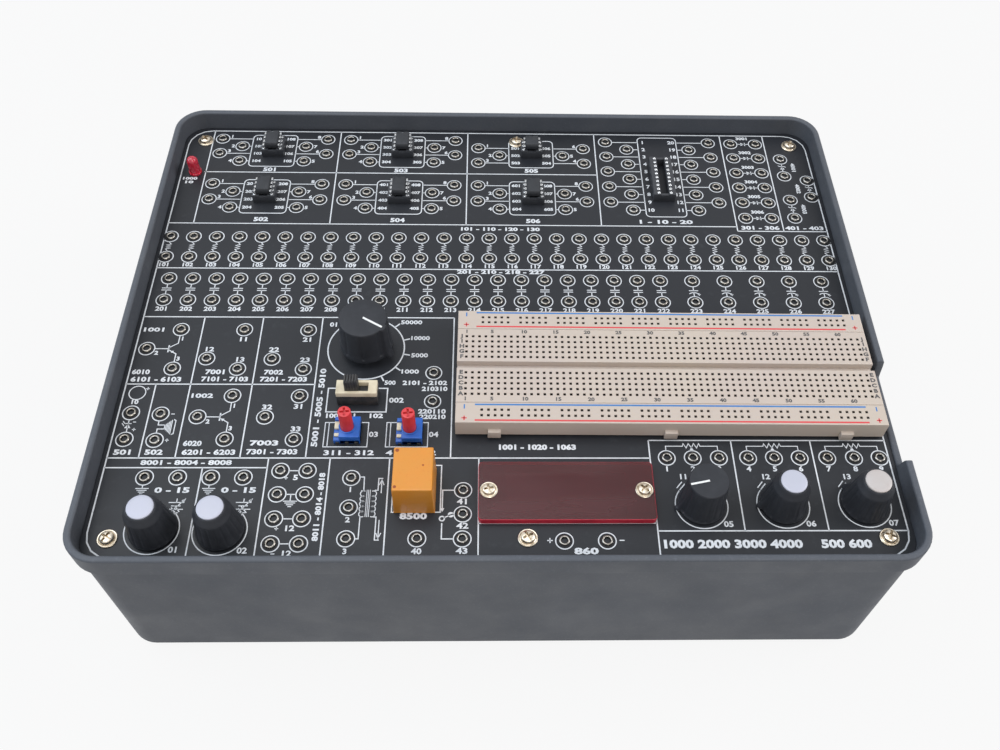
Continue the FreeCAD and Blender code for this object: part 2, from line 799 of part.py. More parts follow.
def jack_places():
    """Every patch jack, as pairs of sizes."""
    places = []
    for column, column_share in enumerate(BLOCK_COLUMN_SHARES):
        for row, row_share in enumerate(BLOCK_ROW_SHARES):
            coupler = column == 2 and row == 0
            rows = COUPLER_JACK_ROW_SHARES if coupler else BLOCK_JACK_ROW_SHARES
            middle = COUPLER_ROW_SHARE if coupler else row_share
            for rise, reach in rows:
                for side in (-1, 1):
                    places.append(spot((column_share + side * reach, middle + rise)))
    centre, first = LONG_BLOCK_SHARE[0], BLOCK_ROW_SHARES[0] + BLOCK_JACK_ROW_SHARES[0][0]
    for row in range(LONG_BLOCK_ROWS):
        reach = BLOCK_JACK_ROW_SHARES[row % 2][1]
        for side in (-1, 1):
            places.append(spot((centre + side * reach, first - row * LONG_BLOCK_PITCH_SHARE)))
    places += [spot((column, row)) for column in DIODE_COLUMN_SHARES for row in DIODE_ROW_SHARES]
    places += [spot(shares) for shares in ZENER_SHARES]
    for index in range(RESISTOR_COUNT):
        places += [spot((RESISTOR_START_SHARE + index, row)) for row in RESISTOR_ROW_SHARES]
    for index in range(CAPACITOR_COUNT):
        places += [spot((CAPACITOR_START_SHARE + index, row)) for row in CAPACITOR_ROW_SHARES]
    for index in range(LARGE_CAPACITOR_COUNT):
        column = LARGE_CAPACITOR_START_SHARE + index * LARGE_CAPACITOR_PITCH_SHARE
        places += [spot((column, row)) for row in CAPACITOR_ROW_SHARES]
    places += [band_spot(shares) for shares in BAND_JACK_SHARES]
    places += [spot(shares) for shares in LOWER_JACK_SHARES]
    places += [spot((column, TRACK_JACK_ROW_SHARE)) for column in TRACK_JACK_SHARES]
    for column in SUPPLY_JACK_COLUMN_SHARES:
        places += [spot((column, row)) for row in SUPPLY_JACK_ROW_SHARES]
    return places


def make_jacks():
    """The patch jacks' collars."""
    collar = prism(JACK_SIDES, size.jack_radius, size.jack_height)
    group("patch_jacks", copies(collar, level(jack_places(), panel_top)))


def chip_blocks():
    """Each socket with a chip: its place, its pins on a side."""
    blocks = []
    for column, column_share in enumerate(BLOCK_COLUMN_SHARES):
        for row, row_share in enumerate(BLOCK_ROW_SHARES):
            coupler = column == 2 and row == 0
            along, across = COUPLER_SOCKET_SHARE if coupler else BLOCK_SOCKET_SHARE
            middle = COUPLER_ROW_SHARE if coupler else row_share
            x, y = spot((column_share + along, middle + across))
            blocks.append((x, y, 3 if coupler else 4))
    return blocks


def socket_solid(pins):
    """A chip socket: two contact rails joined at the ends, open between, with a wire slot each."""
    length = size.pin_pitch * pins
    solid = box_solid(size.socket_width, length, size.socket_height)
    window = box_solid(
        size.socket_width - size.socket_rail * 2, length - size.pin_pitch, size.socket_height)
    solid = solid.cut(window)
    middle = (size.socket_width - size.socket_rail) / 2
    slot = box_solid(size.socket_slot, length - size.pin_pitch / 2, size.socket_slot_depth,
                     size.socket_height - size.socket_slot_depth)
    slots = copies(slot, [FreeCAD.Vector(side * middle.value, 0, 0) for side in (-1, 1)])
    return solid.cut(slots)


def chip_solid(pins):
    """A chip: a moulded body with an end notch and bent legs that stand on the socket."""
    length = size.pin_pitch * pins - size.chip_margin * 2
    body = box_solid(size.chip_width, length, size.chip_height, size.chip_stand)
    notch = box_solid(
        size.chip_notch_width, size.chip_notch_length, size.chip_height, size.chip_stand)
    notch.translate(FreeCAD.Vector(0, (length - size.chip_notch_length).value / 2, 0))
    body = body.cut(notch)
    legs = []
    thickness = (size.chip_leg_row + size.chip_leg_thickness - size.chip_width) / 2
    middle = (size.chip_width + thickness) / 2
    leg = box_solid(thickness, size.chip_leg_width, size.chip_stand + size.chip_height / 2)
    for side in (-1, 1):
        for pin in range(pins):
            along = size.pin_pitch.value * (pin - (pins - 1) / 2)
            legs += copies(leg, [FreeCAD.Vector(side * middle.value, along, 0)])
    return body.multiFuse(legs).removeSplitter()


def make_sockets_and_chips():
    sockets, chips = [], []
    for x, y, pins in chip_blocks():
        sockets += copies(socket_solid(pins), level([(x, y)], panel_top))
        chips += copies(chip_solid(pins), level([(x, y)], panel_top + size.socket_height))
    sockets += copies(socket_solid(LONG_BLOCK_ROWS), level([spot(LONG_SOCKET_SHARE)], panel_top))
    group("chip_sockets", sockets)
    group("chips", chips)


def make_breadboard():
    """The solderless board: a strip with its groove between two bus strips, on a foam pad."""
    x = board_left + size.board_length / 2
    y = step_across * BREADBOARD_ROW_SHARE
    base = panel_top + size.board_pad
    total = size.strip_width + size.bus_width * 2 + size.board_joint * 2
    pad_body = new_body("breadboard_pad")
    outline = new_sketch(pad_body, "pad_outline")
    draw_rectangle(outline, size.board_length - size.board_bevel * 2, total - size.board_bevel * 2)
    pad(pad_body, outline, size.board_pad)
    place(pad_body, x, y, panel_top)
    strip = new_body("breadboard_strip")
    outline = new_sketch(strip, "strip_outline")
    draw_rectangle(outline, size.board_length, size.strip_width)
    pad(strip, outline, size.board_height)
    groove = new_sketch(strip, "strip_groove", offset=size.board_height)
    draw_rectangle(groove, size.board_length + size.overrun, size.groove_width)
    pocket(strip, groove, size.groove_depth)
    place(strip, x, y, base)
    reach = (size.strip_width + size.bus_width) / 2 + size.board_joint
    for label, side in (("breadboard_bus_rear", 1), ("breadboard_bus_front", -1)):
        bus = new_body(label)
        outline = new_sketch(bus, f"{label}_outline")
        draw_rectangle(outline, size.board_length, size.bus_width)
        pad(bus, outline, size.board_height)
        if side < 0:
            tabs = new_sketch(bus, f"{label}_tabs")
            for share in BREADBOARD_TAB_SHARES:
                edge = -(size.bus_width + size.tab_width) / 2
                draw_rectangle(tabs, size.tab_length, size.tab_width, size.board_length * share, edge)
            pad(bus, tabs, size.tab_height)
        bevel(bus, size.board_bevel, upright_corner(size.board_length / 2, side))
        place(bus, x, y + reach * side, base)


def upright_corner(reach, side):
    """A test for the upright edges at the board's outer corners."""
    def wanted(edge):
        box = edge.BoundBox
        outer = abs(abs(box.XMin) - reach.value) < TOUCH and box.YMin * side > 0
        return upright_edge(edge) and outer
    return wanted


def make_lamp():
    """The power lamp: a flange, a round body and a domed end."""
    shoulder = size.lamp_height - size.lamp_radius
    wires = [
        ring(ROUND_SIDES, size.lamp_flange_radius),
        ring(ROUND_SIDES, size.lamp_flange_radius, size.lamp_flange_height),
        ring(ROUND_SIDES, size.lamp_radius, size.lamp_flange_height),
    ]
    for turn in range(LAMP_DOME_STEPS):
        angle = turn * math.pi / 2 / LAMP_DOME_STEPS
        rise = size.lamp_radius * math.sin(angle)
        wires.append(ring(ROUND_SIDES, size.lamp_radius * math.cos(angle), shoulder + rise))
    wires.append(ring(ROUND_SIDES, size.lamp_radius / ROUND_SIDES, size.lamp_height))
    group("power_lamp", copies(stack(wires), level([spot(LAMP_SHARE)], panel_top)))


def make_relay():
    """The relay: a drafted sealed cover with a rounded top."""
    relay = new_body("relay")
    foot = new_sketch(relay, "relay_foot")
    draw_rectangle(foot, size.relay_length, size.relay_width)
    drafted = pad(relay, foot, size.relay_height)
    slope = size.relay_draft / size.relay_height
    bind(drafted, "TaperAngle", Size(0, f"-atan({slope.text})"))
    doc.recompute()
    bevel(relay, size.relay_bevel, edge_at_height(size.relay_height))
    place(relay, *spot(RELAY_SHARE), panel_top)


def window_screw_places():
    x, y = spot(WINDOW_SHARE)
    return [(x - size.window_screw_pitch / 2, y), (x + size.window_screw_pitch / 2, y)]


def make_meter():
    """The meter: a window plate on the panel, and a board with its display under the panel."""
    x, y = spot(WINDOW_SHARE)
    window = new_body("meter_window")
    outline = new_sketch(window, "window_outline")
    draw_bevelled(outline, size.window_length, size.window_width, size.window_corner)
    pad(window, outline, size.window_thickness)
    holes = new_sketch(window, "window_holes", offset=size.window_thickness)
    for side in (-1, 1):
        shift = size.window_screw_pitch / 2 * side
        draw_ring(holes, SCREW_SIDES, size.window_screw_radius + size.fit_gap, shift)
    pocket(window, holes, size.window_thickness)
    place(window, x, y, panel_top)
    screw = pan_screw(
        size.window_screw_radius, size.window_screw_length, size.window_head_radius,
        size.window_head_height)
    head_seat = panel_top + size.window_thickness
    group("window_screws", copies(screw, level(window_screw_places(), head_seat)))
    display = new_body("meter_display")
    outline = new_sketch(display, "display_outline")
    draw_bevelled(outline, size.display_length, size.display_width, size.display_corner)
    pad(display, outline, size.display_height)
    display_base = panel_top - size.display_gap - size.display_height
    place(display, x, y, display_base)
    board = new_body("meter_board")
    outline = new_sketch(board, "meter_outline")
    draw_rectangle(outline, size.meter_length, size.meter_width)
    pad(board, outline, size.meter_thickness)
    holes = new_sketch(board, "meter_holes", offset=size.meter_thickness)
    for side in (-1, 1):
        shift = size.window_screw_pitch / 2 * side
        draw_ring(holes, SCREW_SIDES, size.window_screw_radius + size.fit_gap, shift)
    pocket(board, holes, size.meter_thickness)
    board_base = display_base - size.meter_thickness
    place(board, x, y, board_base)
    nut = hexagon(size.window_nut_width, size.window_nut_height)
    bore = size.window_screw_radius + size.running_gap
    nut = nut.cut(prism(SCREW_SIDES, bore, size.window_nut_height))
    group("window_nuts", copies(nut, level(window_screw_places(), board_base - size.window_nut_height)))
    spacer_height = panel_under - display_base
    spacer = hexagon(size.window_nut_width, spacer_height)
    spacer = spacer.cut(prism(SCREW_SIDES, bore, spacer_height))
    group("meter_spacers", copies(spacer, level(window_screw_places(), display_base)))


def make_slide_switch():
    """The slide switch: housing with a well, cover plate with its slot, and the ribbed slider."""
    x, y = band_spot(SLIDE_SHARE)
    housing = new_body("slide_switch_housing")
    outline = new_sketch(housing, "housing_outline")
    draw_rectangle(outline, size.slide_length, size.slide_width)
    pad(housing, outline, size.slide_body_height)
    well = new_sketch(housing, "housing_well", offset=size.slide_body_height)
    draw_rectangle(well, size.slide_slot_length, size.slide_slot_width)
    pocket(housing, well, size.slide_well_depth)
    place(housing, x, y, panel_top)
    plate = new_body("slide_switch_plate")
    outline = new_sketch(plate, "plate_outline")
    draw_rectangle(outline, size.slide_length, size.slide_width)
    pad(plate, outline, size.slide_plate_height)
    slot = new_sketch(plate, "plate_slot", offset=size.slide_plate_height)
    draw_rectangle(slot, size.slide_slot_length, size.slide_slot_width)
    pocket(plate, slot, size.slide_plate_height)
    place(plate, x, y, panel_top + size.slide_body_height)
    slider = new_body("slide_switch_slider")
    outline = new_sketch(slider, "slider_outline")
    draw_rectangle(outline, size.slider_length, size.slider_width)
    pad(slider, outline, size.slider_height + size.slide_well_depth - size.running_gap * 2)
    top = size.slider_height + size.slide_well_depth - size.running_gap * 2
    ribs = new_sketch(slider, "slider_ribs", offset=top)
    for share in (-0.25, 0.0, 0.25):
        draw_rectangle(ribs, size.slider_rib, size.slider_width + size.overrun, size.slider_length * share)
    pocket(slider, ribs, size.slider_rib * 2)
    left = (size.slide_slot_length - size.slider_length) / 2 - size.fit_gap / 2
    base = panel_top + size.slide_body_height - size.slide_well_depth + size.running_gap * 2
    place(slider, x - left, y, base)


def make_trimmers():
    """Two trimmers: a low body, stepped on the left to show its contact plate, and a tall shaft."""
    for index, shares in enumerate(TRIMMER_SHARES, start=1):
        x, y = band_spot(shares)
        body = new_body(f"trimmer_body_{index}")
        outline = new_sketch(body, f"trimmer_outline_{index}")
        draw_rectangle(outline, size.trimmer_length, size.trimmer_width)
        pad(body, outline, size.trimmer_height)
        step = new_sketch(body, f"trimmer_step_{index}", offset=size.trimmer_height)
        edge = -(size.trimmer_length - size.trimmer_step) / 2
        draw_rectangle(step, size.trimmer_step, size.trimmer_width + size.overrun, edge)
        pocket(body, step, size.trimmer_step)
        shift = size.trimmer_length * TRIMMER_SHAFT_SHARE - size.trimmer_step / 2
        well = new_sketch(body, f"trimmer_well_{index}", offset=size.trimmer_height)
        draw_circle(well, size.trimmer_shaft_radius + size.running_gap, shift)
        pocket(body, well, size.trimmer_well_depth)
        place(body, x, y, panel_top)
        shaft = new_body(f"trimmer_shaft_{index}")
        reach = size.trimmer_shaft_height - size.trimmer_height + size.trimmer_well_depth
        reach = reach - size.running_gap
        outline = new_sketch(shaft, f"shaft_outline_{index}")
        draw_ring(outline, ROUND_SIDES, size.trimmer_shaft_radius)
        pad(shaft, outline, reach)
        for turn, (length, width) in enumerate((
                (size.trimmer_slot_length, size.trimmer_slot_width),
                (size.trimmer_slot_width, size.trimmer_slot_length))):
            slot = new_sketch(shaft, f"shaft_slot_{index}_{turn}", offset=reach)
            draw_rectangle(slot, length, width)
            pocket(shaft, slot, size.trimmer_slot_depth)
        base = panel_top + size.trimmer_height - size.trimmer_well_depth + size.running_gap
        place(shaft, x + shift, y, base)


def make_shaft(label, x, y, start, height):
    """A control's shaft, many-sided like its knob's bore, from below the panel to a height above it."""
    shaft = doc.addObject("Part::Prism", label)
    shaft.Polygon = SHAFT_SIDES
    bind(shaft, "Circumradius", size.pot_shaft_radius)
    bind(shaft, "Height", start + height)
    place(shaft, x, y, panel_top - start)
    keep(shaft, label)


def control_body(radius, height, bush_radius, bush_height, shaft_depth):
    """A control's can under the panel, with its bush and the bore that the shaft turns in."""
    can = prism(LARGE_SIDES, radius, height, -height)
    bush = prism(ROUND_SIDES, bush_radius, bush_height)
    bore_radius = size.pot_shaft_radius + size.running_gap
    bore_foot = FreeCAD.Vector(0, 0, -shaft_depth.value)
    bore = Part.makeCylinder(bore_radius.value, (bush_height + shaft_depth).value, bore_foot)
    return can.fuse(bush).cut(bore).removeSplitter()


def make_pots():
    """Potentiometer bodies with their bushes and shafts, and every control's nut."""
    rise = size.panel_thickness + size.pot_bush_height
    body = control_body(size.pot_radius, size.pot_height, size.pot_bush_radius, rise, size.pot_shaft_depth)
    nut = hexagon(size.pot_nut_width, size.pot_nut_height)
    nut = nut.cut(prism(ROUND_SIDES, size.pot_bush_radius + size.running_gap, size.pot_nut_height))
    places = [spot(shares) for shares in KNOB_SHARES]
    bodies = copies(body, level(places, panel_under))
    nuts = copies(nut, level(places, panel_top))
    rotary = hexagon(size.rotary_nut_width, size.rotary_nut_height)
    bore = size.rotary_bush_radius + size.running_gap
    rotary = rotary.cut(prism(ROUND_SIDES, bore, size.rotary_nut_height))
    nuts += copies(rotary, level([band_spot(SELECTOR_SHARE)], panel_top))
    group("pot_bodies", bodies)
    group("control_nuts", nuts)
    for index, (x, y) in enumerate(places, start=1):
        start = size.pot_shaft_depth + size.panel_thickness - size.running_gap
        make_shaft(f"pot_shaft_{index}", x, y, start, size.pot_shaft_height)


def fluted_ring(radius, base):
    """A closed wire of lobes and flutes, its lobes at the radius."""
    corners = []
    for turn in range(KNOB_FLUTES * 2 + 1):
        angle = turn * math.pi / KNOB_FLUTES
        reach = radius * (1 - KNOB_FLUTE_DEPTH_SHARE * (turn % 2))
        direction = FreeCAD.Vector(math.cos(angle), math.sin(angle), 0)
        corners.append(direction * reach.value + FreeCAD.Vector(0, 0, base.value))
    return Part.makePolygon(corners)


def make_knob(index, shares, angle):
    """A control knob: skirt, fluted taper, shoulder, pointer nose, hollow foot and shaft bore."""
    capped = index != PLAIN_KNOB
    top_radius = size.knob_top_radius if capped else size.plain_top_radius
    top = size.knob_height if capped else size.plain_top_height
    shoulder = size.knob_shoulder_radius if capped else size.plain_top_radius
    rise = size.knob_shoulder_height if capped else size.knob_height
    skirt = prism(CAP_SIDES, size.knob_base_radius, size.knob_skirt_height)
    taper = stack([
        fluted_ring(size.knob_base_radius, size.knob_skirt_height),
        fluted_ring(shoulder, rise),
    ])
    crown_radius = shoulder * (1 - KNOB_FLUTE_DEPTH_SHARE)
    crown = stack([ring(CAP_SIDES, crown_radius, rise), ring(CAP_SIDES, top_radius, top)])
    tip = size.knob_base_radius + size.knob_nose_reach
    root = size.knob_base_radius - size.knob_nose_reach
    half = size.knob_nose_width / 2
    outline = [(root, -half), (tip, ZERO), (root, half), (root, -half)]
    nose = Part.Face(Part.makePolygon([FreeCAD.Vector(x.value, y.value, 0) for x, y in outline]))
    nose = nose.extrude(FreeCAD.Vector(0, 0, size.knob_skirt_height.value))
    solid = skirt.multiFuse([taper, crown, nose]).removeSplitter()
    bore_top = size.pot_shaft_height - size.knob_gap + size.running_gap
    hollow = prism(SHAFT_SIDES, size.knob_hollow_radius, size.knob_hollow_depth)
    bore_radius = around(size.pot_shaft_radius + size.running_gap, SHAFT_SIDES)
    bore = prism(SHAFT_SIDES, bore_radius, bore_top)
    cuts = [hollow, bore]
    if capped:
        seat_radius = size.cap_radius + size.running_gap
        cuts.append(prism(CAP_SIDES, seat_radius, size.cap_depth, size.knob_height - size.cap_depth))
    knob = doc.addObject("Part::Feature", f"knob_{index + 1}")
    knob.Shape = solid.cut(cuts)
    x, y = spot(shares)
    place(knob, x, y, panel_top + size.knob_gap, turn=angle)
    keep(knob, f"knob_{index + 1}")
    if capped:
        cap = doc.addObject("Part::Feature", f"knob_cap_{index + 1}")
        cap.Shape = prism(CAP_SIDES, size.cap_radius, size.cap_depth + size.cap_rise)
        place(cap, x, y, panel_top + size.knob_gap + size.knob_height - size.cap_depth, turn=angle)
        keep(cap, f"knob_cap_{index + 1}")


def make_selector():
    """The range selector: rotary switch and shaft under a ridged pointer knob."""
    x, y = band_spot(SELECTOR_SHARE)
    rise = size.panel_thickness + size.rotary_bush_height
    body = control_body(
        size.rotary_radius, size.rotary_height, size.rotary_bush_radius, rise, size.rotary_shaft_depth)
    group("rotary_switch", copies(body, level([(x, y)], panel_under)))
    start = size.rotary_shaft_depth + size.panel_thickness - size.running_gap
    make_shaft("rotary_shaft", x, y, start, size.rotary_shaft_height)
    shoulder = size.selector_height - size.selector_bevel
    body = stack([
        ring(LARGE_SIDES, size.selector_radius),
        ring(LARGE_SIDES, size.selector_radius, size.selector_skirt_height),
        ring(LARGE_SIDES, size.selector_top_radius, shoulder),
        ring(LARGE_SIDES, size.selector_top_radius - size.selector_bevel, size.selector_height),
    ])
    bore_radius = around(size.pot_shaft_radius + size.running_gap, SHAFT_SIDES)
    bore_top = size.rotary_shaft_height - size.selector_gap + size.running_gap
    root = bore_radius + size.selector_bevel
    outline = [
        (root, ZERO),
        (size.selector_radius + size.selector_nose_reach, ZERO),
        (size.selector_radius + size.selector_nose_reach, size.selector_skirt_height),
        (size.selector_top_radius + size.selector_bevel, shoulder),
        (size.selector_top_radius - size.selector_bevel, size.selector_height),
        (root, size.selector_height),
        (root, ZERO),
    ]
    near = -size.selector_nose_width.value / 2
    wire = Part.makePolygon([FreeCAD.Vector(reach.value, near, rise.value) for reach, rise in outline])
    ridge = Part.Face(wire).extrude(FreeCAD.Vector(0, size.selector_nose_width.value, 0))
    knob = doc.addObject("Part::Feature", "selector_knob")
    knob.Shape = body.fuse(ridge).cut(prism(SHAFT_SIDES, bore_radius, bore_top)).removeSplitter()
    place(knob, x, y, panel_top + size.selector_gap, turn=SELECTOR_REST_ANGLE)
    keep(knob, "selector_knob")


def make_transformer():
    """The mains transformer: laminated frame, winding, bracket strap and its two screws."""
    x, y = spot(TRANSFORMER_SHARE)
    base = floor_top + size.bracket_seat + size.bracket_thickness
    core = new_body("transformer_core")
    outline = new_sketch(core, "core_outline", "XZ_Plane", -size.core_width / 2)
    draw_rectangle(outline, size.core_length, size.core_height, ZERO, size.core_height / 2)
    pad(core, outline, size.core_width)
    for name, side in (("core_window_left", -1), ("core_window_right", 1)):
        window = new_sketch(core, name, "XZ_Plane", -(size.core_width / 2 + size.overrun))
        opening = (size.core_length - size.core_leg * 4) / 2
        shift = (size.core_leg * 2 + opening) / 2 * side
        draw_rectangle(window, opening, size.core_height - size.core_leg * 2, shift, size.core_height / 2)
        pocket(core, window, size.core_width + size.overrun * 2, up=True)
    place(core, x, y, base)
    opening = (size.core_length - size.core_leg * 4) / 2
    winding = box_solid(
        size.core_leg * 2 + (opening - size.winding_gap) * 2, size.core_width + size.winding_overhang * 2,
        size.core_height - size.core_leg * 2 - size.winding_gap * 2,
        size.core_leg + size.winding_gap)
    corners = [edge for edge in winding.Edges if upright_edge(edge)]
    winding = winding.makeChamfer((size.core_leg / 2).value, corners)
    bore = box_solid(
        size.core_leg * 2 + size.winding_gap * 2, size.core_width + size.winding_gap * 2,
        size.core_height)
    winding = winding.cut(bore)
    group("transformer_winding", copies(winding, level([(x, y)], base)))
    bracket = new_body("transformer_bracket")
    strap = new_sketch(bracket, "bracket_strap", "XZ_Plane", -size.core_width / 2)
    reach = size.core_length / 2 + size.winding_gap
    far = reach + size.bracket_thickness
    tab = far + size.bracket_tab
    top = size.core_height + size.winding_gap
    lift = size.bracket_thickness
    draw_outline(strap, [
        (-tab, -lift), (-reach, -lift), (-reach, top), (reach, top), (reach, -lift), (tab, -lift),
        (tab, ZERO), (far, ZERO), (far, top + lift), (-far, top + lift), (-far, ZERO), (-tab, ZERO),
    ])
    pad(bracket, strap, size.core_width)
    holes = new_sketch(bracket, "bracket_holes")
    for side in (-1, 1):
        hole = (size.core_length / 2 + size.bracket_thickness + size.bracket_tab / 2) * side
        draw_ring(holes, SCREW_SIDES, size.screw_radius + size.fit_gap, hole)
    pocket(bracket, holes, size.bracket_thickness)
    place(bracket, x, y, base)
    screw = pan_screw(
        size.screw_radius, size.bracket_seat + size.bracket_thickness,
        size.bracket_screw_head, size.bracket_screw_height)
    return copies(screw, level(bracket_holes(), base))


def make_supply():
    """The supply board on its standoffs, with capacitors, a finned sink and three regulators."""
    x, y = spot(SUPPLY_SHARE)
    base = floor_top + size.standoff_height
    board = new_body("supply_board")
    outline = new_sketch(board, "supply_outline")
    draw_rectangle(outline, size.supply_length, size.supply_width)
    pad(board, outline, size.supply_thickness)
    holes = new_sketch(board, "supply_holes", offset=size.supply_thickness)
    along = size.supply_length / 2 - size.supply_hole_inset
    across = size.supply_width / 2 - size.supply_hole_inset
    for side in (-1, 1):
        for end in (-1, 1):
            hole_radius = size.supply_screw_radius + size.fit_gap
            draw_ring(holes, SCREW_SIDES, hole_radius, along * side, across * end)
    pocket(board, holes, size.supply_thickness)
    place(board, x, y, base)
    top = base + size.supply_thickness
    screw = pan_screw(
        size.supply_screw_radius, size.standoff_height - size.overrun, size.supply_head_radius,
        size.supply_head_height)
    screws = copies(screw, level(supply_holes(), top))
    can = prism(LARGE_SIDES, size.capacitor_radius, size.capacitor_height)
    places = [
        (x + size.supply_length * share, y + size.supply_width * rise)
        for share, rise in CAPACITOR_PLACE_SHARES]
    group("filter_capacitors", copies(can, level(places, top)))
    sink = new_body("heat_sink")
    outline = new_sketch(sink, "sink_outline")
    draw_rectangle(outline, size.sink_length, size.sink_thickness)
    pad(sink, outline, size.sink_height)
    fins = new_sketch(sink, "sink_fins")
    middle = (size.sink_thickness + size.sink_fin) / 2
    for index in range(-3, 4):
        shift = size.sink_length * (index / 7)
        draw_rectangle(fins, size.sink_fin_thickness, size.sink_fin, shift, -middle)
    pad(sink, fins, size.sink_height)
    sink_x = x + size.supply_length * SINK_PLACE_SHARE[0]
    sink_y = y + size.supply_width * SINK_PLACE_SHARE[1]
    place(sink, sink_x, sink_y, top)
    regulator = box_solid(
        size.regulator_length, size.regulator_thickness, size.regulator_height, size.regulator_lift)
    lead = box_solid(size.regulator_length / 2, size.regulator_thickness / 4, size.regulator_lift)
    regulator = regulator.fuse(lead).removeSplitter()
    back = sink_y + (size.sink_thickness + size.regulator_thickness) / 2
    places = [(sink_x + size.sink_length * share, back) for share in REGULATOR_PLACE_SHARES]
    group("regulators", copies(regulator, level(places, top)))
    return screws


def make_speaker():
    """The speaker over the floor's vents: basket with its cone, and its magnet."""
    x, y = spot(SPEAKER_SHARE)
    basket = stack([
        ring(LARGE_SIDES, size.speaker_radius),
        ring(LARGE_SIDES, size.speaker_radius, size.speaker_rim),
        ring(LARGE_SIDES, size.speaker_magnet_radius, size.speaker_height),
    ])
    group("speaker_basket", copies(basket, level([(x, y)], floor_top)))
    magnet = prism(LARGE_SIDES, size.speaker_magnet_radius, size.speaker_magnet_height)
    group("speaker_magnet", copies(magnet, level([(x, y)], floor_top + size.speaker_height)))


def make_inlet():
    """The mains inlet in the rear wall: flanged housing with a recess and three flat pins."""
    height = size.foot_height + size.inlet_lift
    inlet = new_body("mains_inlet")
    face = -wall_back
    shell = new_sketch(inlet, "inlet_shell", "XZ_Plane", face)
    draw_rectangle(shell, size.inlet_length, size.inlet_width)
    pad(inlet, shell, size.inlet_depth)
    flange = new_sketch(inlet, "inlet_flange", "XZ_Plane", face - size.inlet_flange)
    margin = size.inlet_flange_margin * 2
    draw_rectangle(flange, size.inlet_length + margin, size.inlet_width + margin)
    pad(inlet, flange, size.inlet_flange)
    recess = new_sketch(inlet, "inlet_recess", "XZ_Plane", face - size.inlet_flange)
    draw_bevelled(recess, size.inlet_recess_length, size.inlet_recess_width, size.inlet_recess_corner)
    pocket(inlet, recess, size.inlet_recess_depth, up=True)
    pins = new_sketch(inlet, "inlet_pins", "XZ_Plane", face - size.inlet_flange + size.inlet_recess_depth)
    low = -size.inlet_pin_offset / 2
    high = size.inlet_pin_offset / 2
    side = size.inlet_pin_row / 2
    for x, z in ((-side, low), (ZERO, high), (side, low)):
        draw_rectangle(pins, size.inlet_pin_thickness, size.inlet_pin_width, x, z)
    pad(inlet, pins, size.inlet_pin_length, down=True)
    place(inlet, inlet_x(), ZERO, height)


def make_rocker():
    """The mains switch beside the inlet: framed housing, and a rocker key on a cross pin."""
    height = size.foot_height + size.inlet_lift
    face = -wall_back
    housing = new_body("rocker_housing")
    shell = new_sketch(housing, "rocker_shell", "XZ_Plane", face)
    draw_rectangle(shell, size.rocker_length, size.rocker_width)
    pad(housing, shell, size.rocker_depth)
    flange = new_sketch(housing, "rocker_flange", "XZ_Plane", face - size.rocker_flange)
    margin = size.rocker_flange_margin * 2
    draw_rectangle(flange, size.rocker_length + margin, size.rocker_width + margin)
    pad(housing, flange, size.rocker_flange)
    well = new_sketch(housing, "rocker_well", "XZ_Plane", face - size.rocker_flange)
    well_width = size.rocker_key_width + size.fit_gap * 2
    draw_rectangle(well, size.rocker_key_length + size.rocker_end_gap * 2, well_width)
    pocket(housing, well, size.rocker_well_depth, up=True)
    reach = well_width / 2 + size.rocker_pin_reach
    seat = new_sketch(housing, "rocker_pin_seat", offset=reach)
    pivot = wall_back - size.rocker_pivot_depth
    draw_circle(seat, size.rocker_pin_radius + size.running_gap, ZERO, pivot)
    pocket(housing, seat, reach * 2)
    place(housing, rocker_x(), ZERO, height)
    key = new_body("rocker_key")
    outline = new_sketch(key, "key_outline", offset=-size.rocker_key_width / 2)
    half = size.rocker_key_length / 2
    draw_outline(outline, [
        (-half, -size.rocker_key_cheek),
        (ZERO, -size.rocker_key_depth),
        (half, -size.rocker_key_cheek),
        (half, size.rocker_key_front + size.rocker_key_rise),
        (ZERO, size.rocker_key_front),
        (-half, size.rocker_key_front + size.rocker_key_rise),
    ])
    pad(key, outline, size.rocker_key_width)
    pin_reach = reach - size.running_gap
    pin = new_sketch(key, "key_pin", offset=-pin_reach)
    draw_ring(pin, ROUND_SIDES, size.rocker_pin_radius)
    pad(key, pin, pin_reach * 2)
    place(key, rocker_x(), pivot, height, turn=ROCKER_REST_ANGLE)


def main():
    make_tray()
    make_feet()
    make_panel()
    make_panel_screws()
    make_jacks()
    make_sockets_and_chips()
    make_breadboard()
    make_lamp()
    make_relay()
    make_meter()
    make_slide_switch()
    make_trimmers()
    make_pots()
    for index, (shares, angle) in enumerate(zip(KNOB_SHARES, KNOB_REST_ANGLES)):
        make_knob(index, shares, angle)
    make_selector()
    group("inner_screws", make_transformer() + make_supply())
    make_speaker()
    make_inlet()
    make_rocker()
    doc.recompute()
    for item in doc.Objects:
        if "Invalid" in item.State or "Error" in item.State:
            raise RuntimeError(f"{item.Label} failed: {item.State}")
    for node in nodes:
        if node.Shape.isNull() or not node.Shape.isValid():
            raise RuntimeError(f"{node.Label} has no valid shape")
    os.makedirs("parts", exist_ok=True)
    for node in nodes:
        node.Shape.exportStep(f"parts/{node.Label}.step")
        box = node.Shape.BoundBox
        print(node.Label, len(node.Shape.Solids), f"{box.XMin:.1f} {box.YMin:.1f} {box.ZMin:.1f}",
              f"{box.XMax:.1f} {box.YMax:.1f} {box.ZMax:.1f}")


main()
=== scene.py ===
"""Looks of the bench trainer: a moulded tray, its printed patch panel, sockets, controls and breadboard.

Lengths are in millimetres until a piece is made, in the row frame: +X right, +Y to the back, +Z up.
"""
import math
import random

import bpy
from mathutils import Matrix, Vector


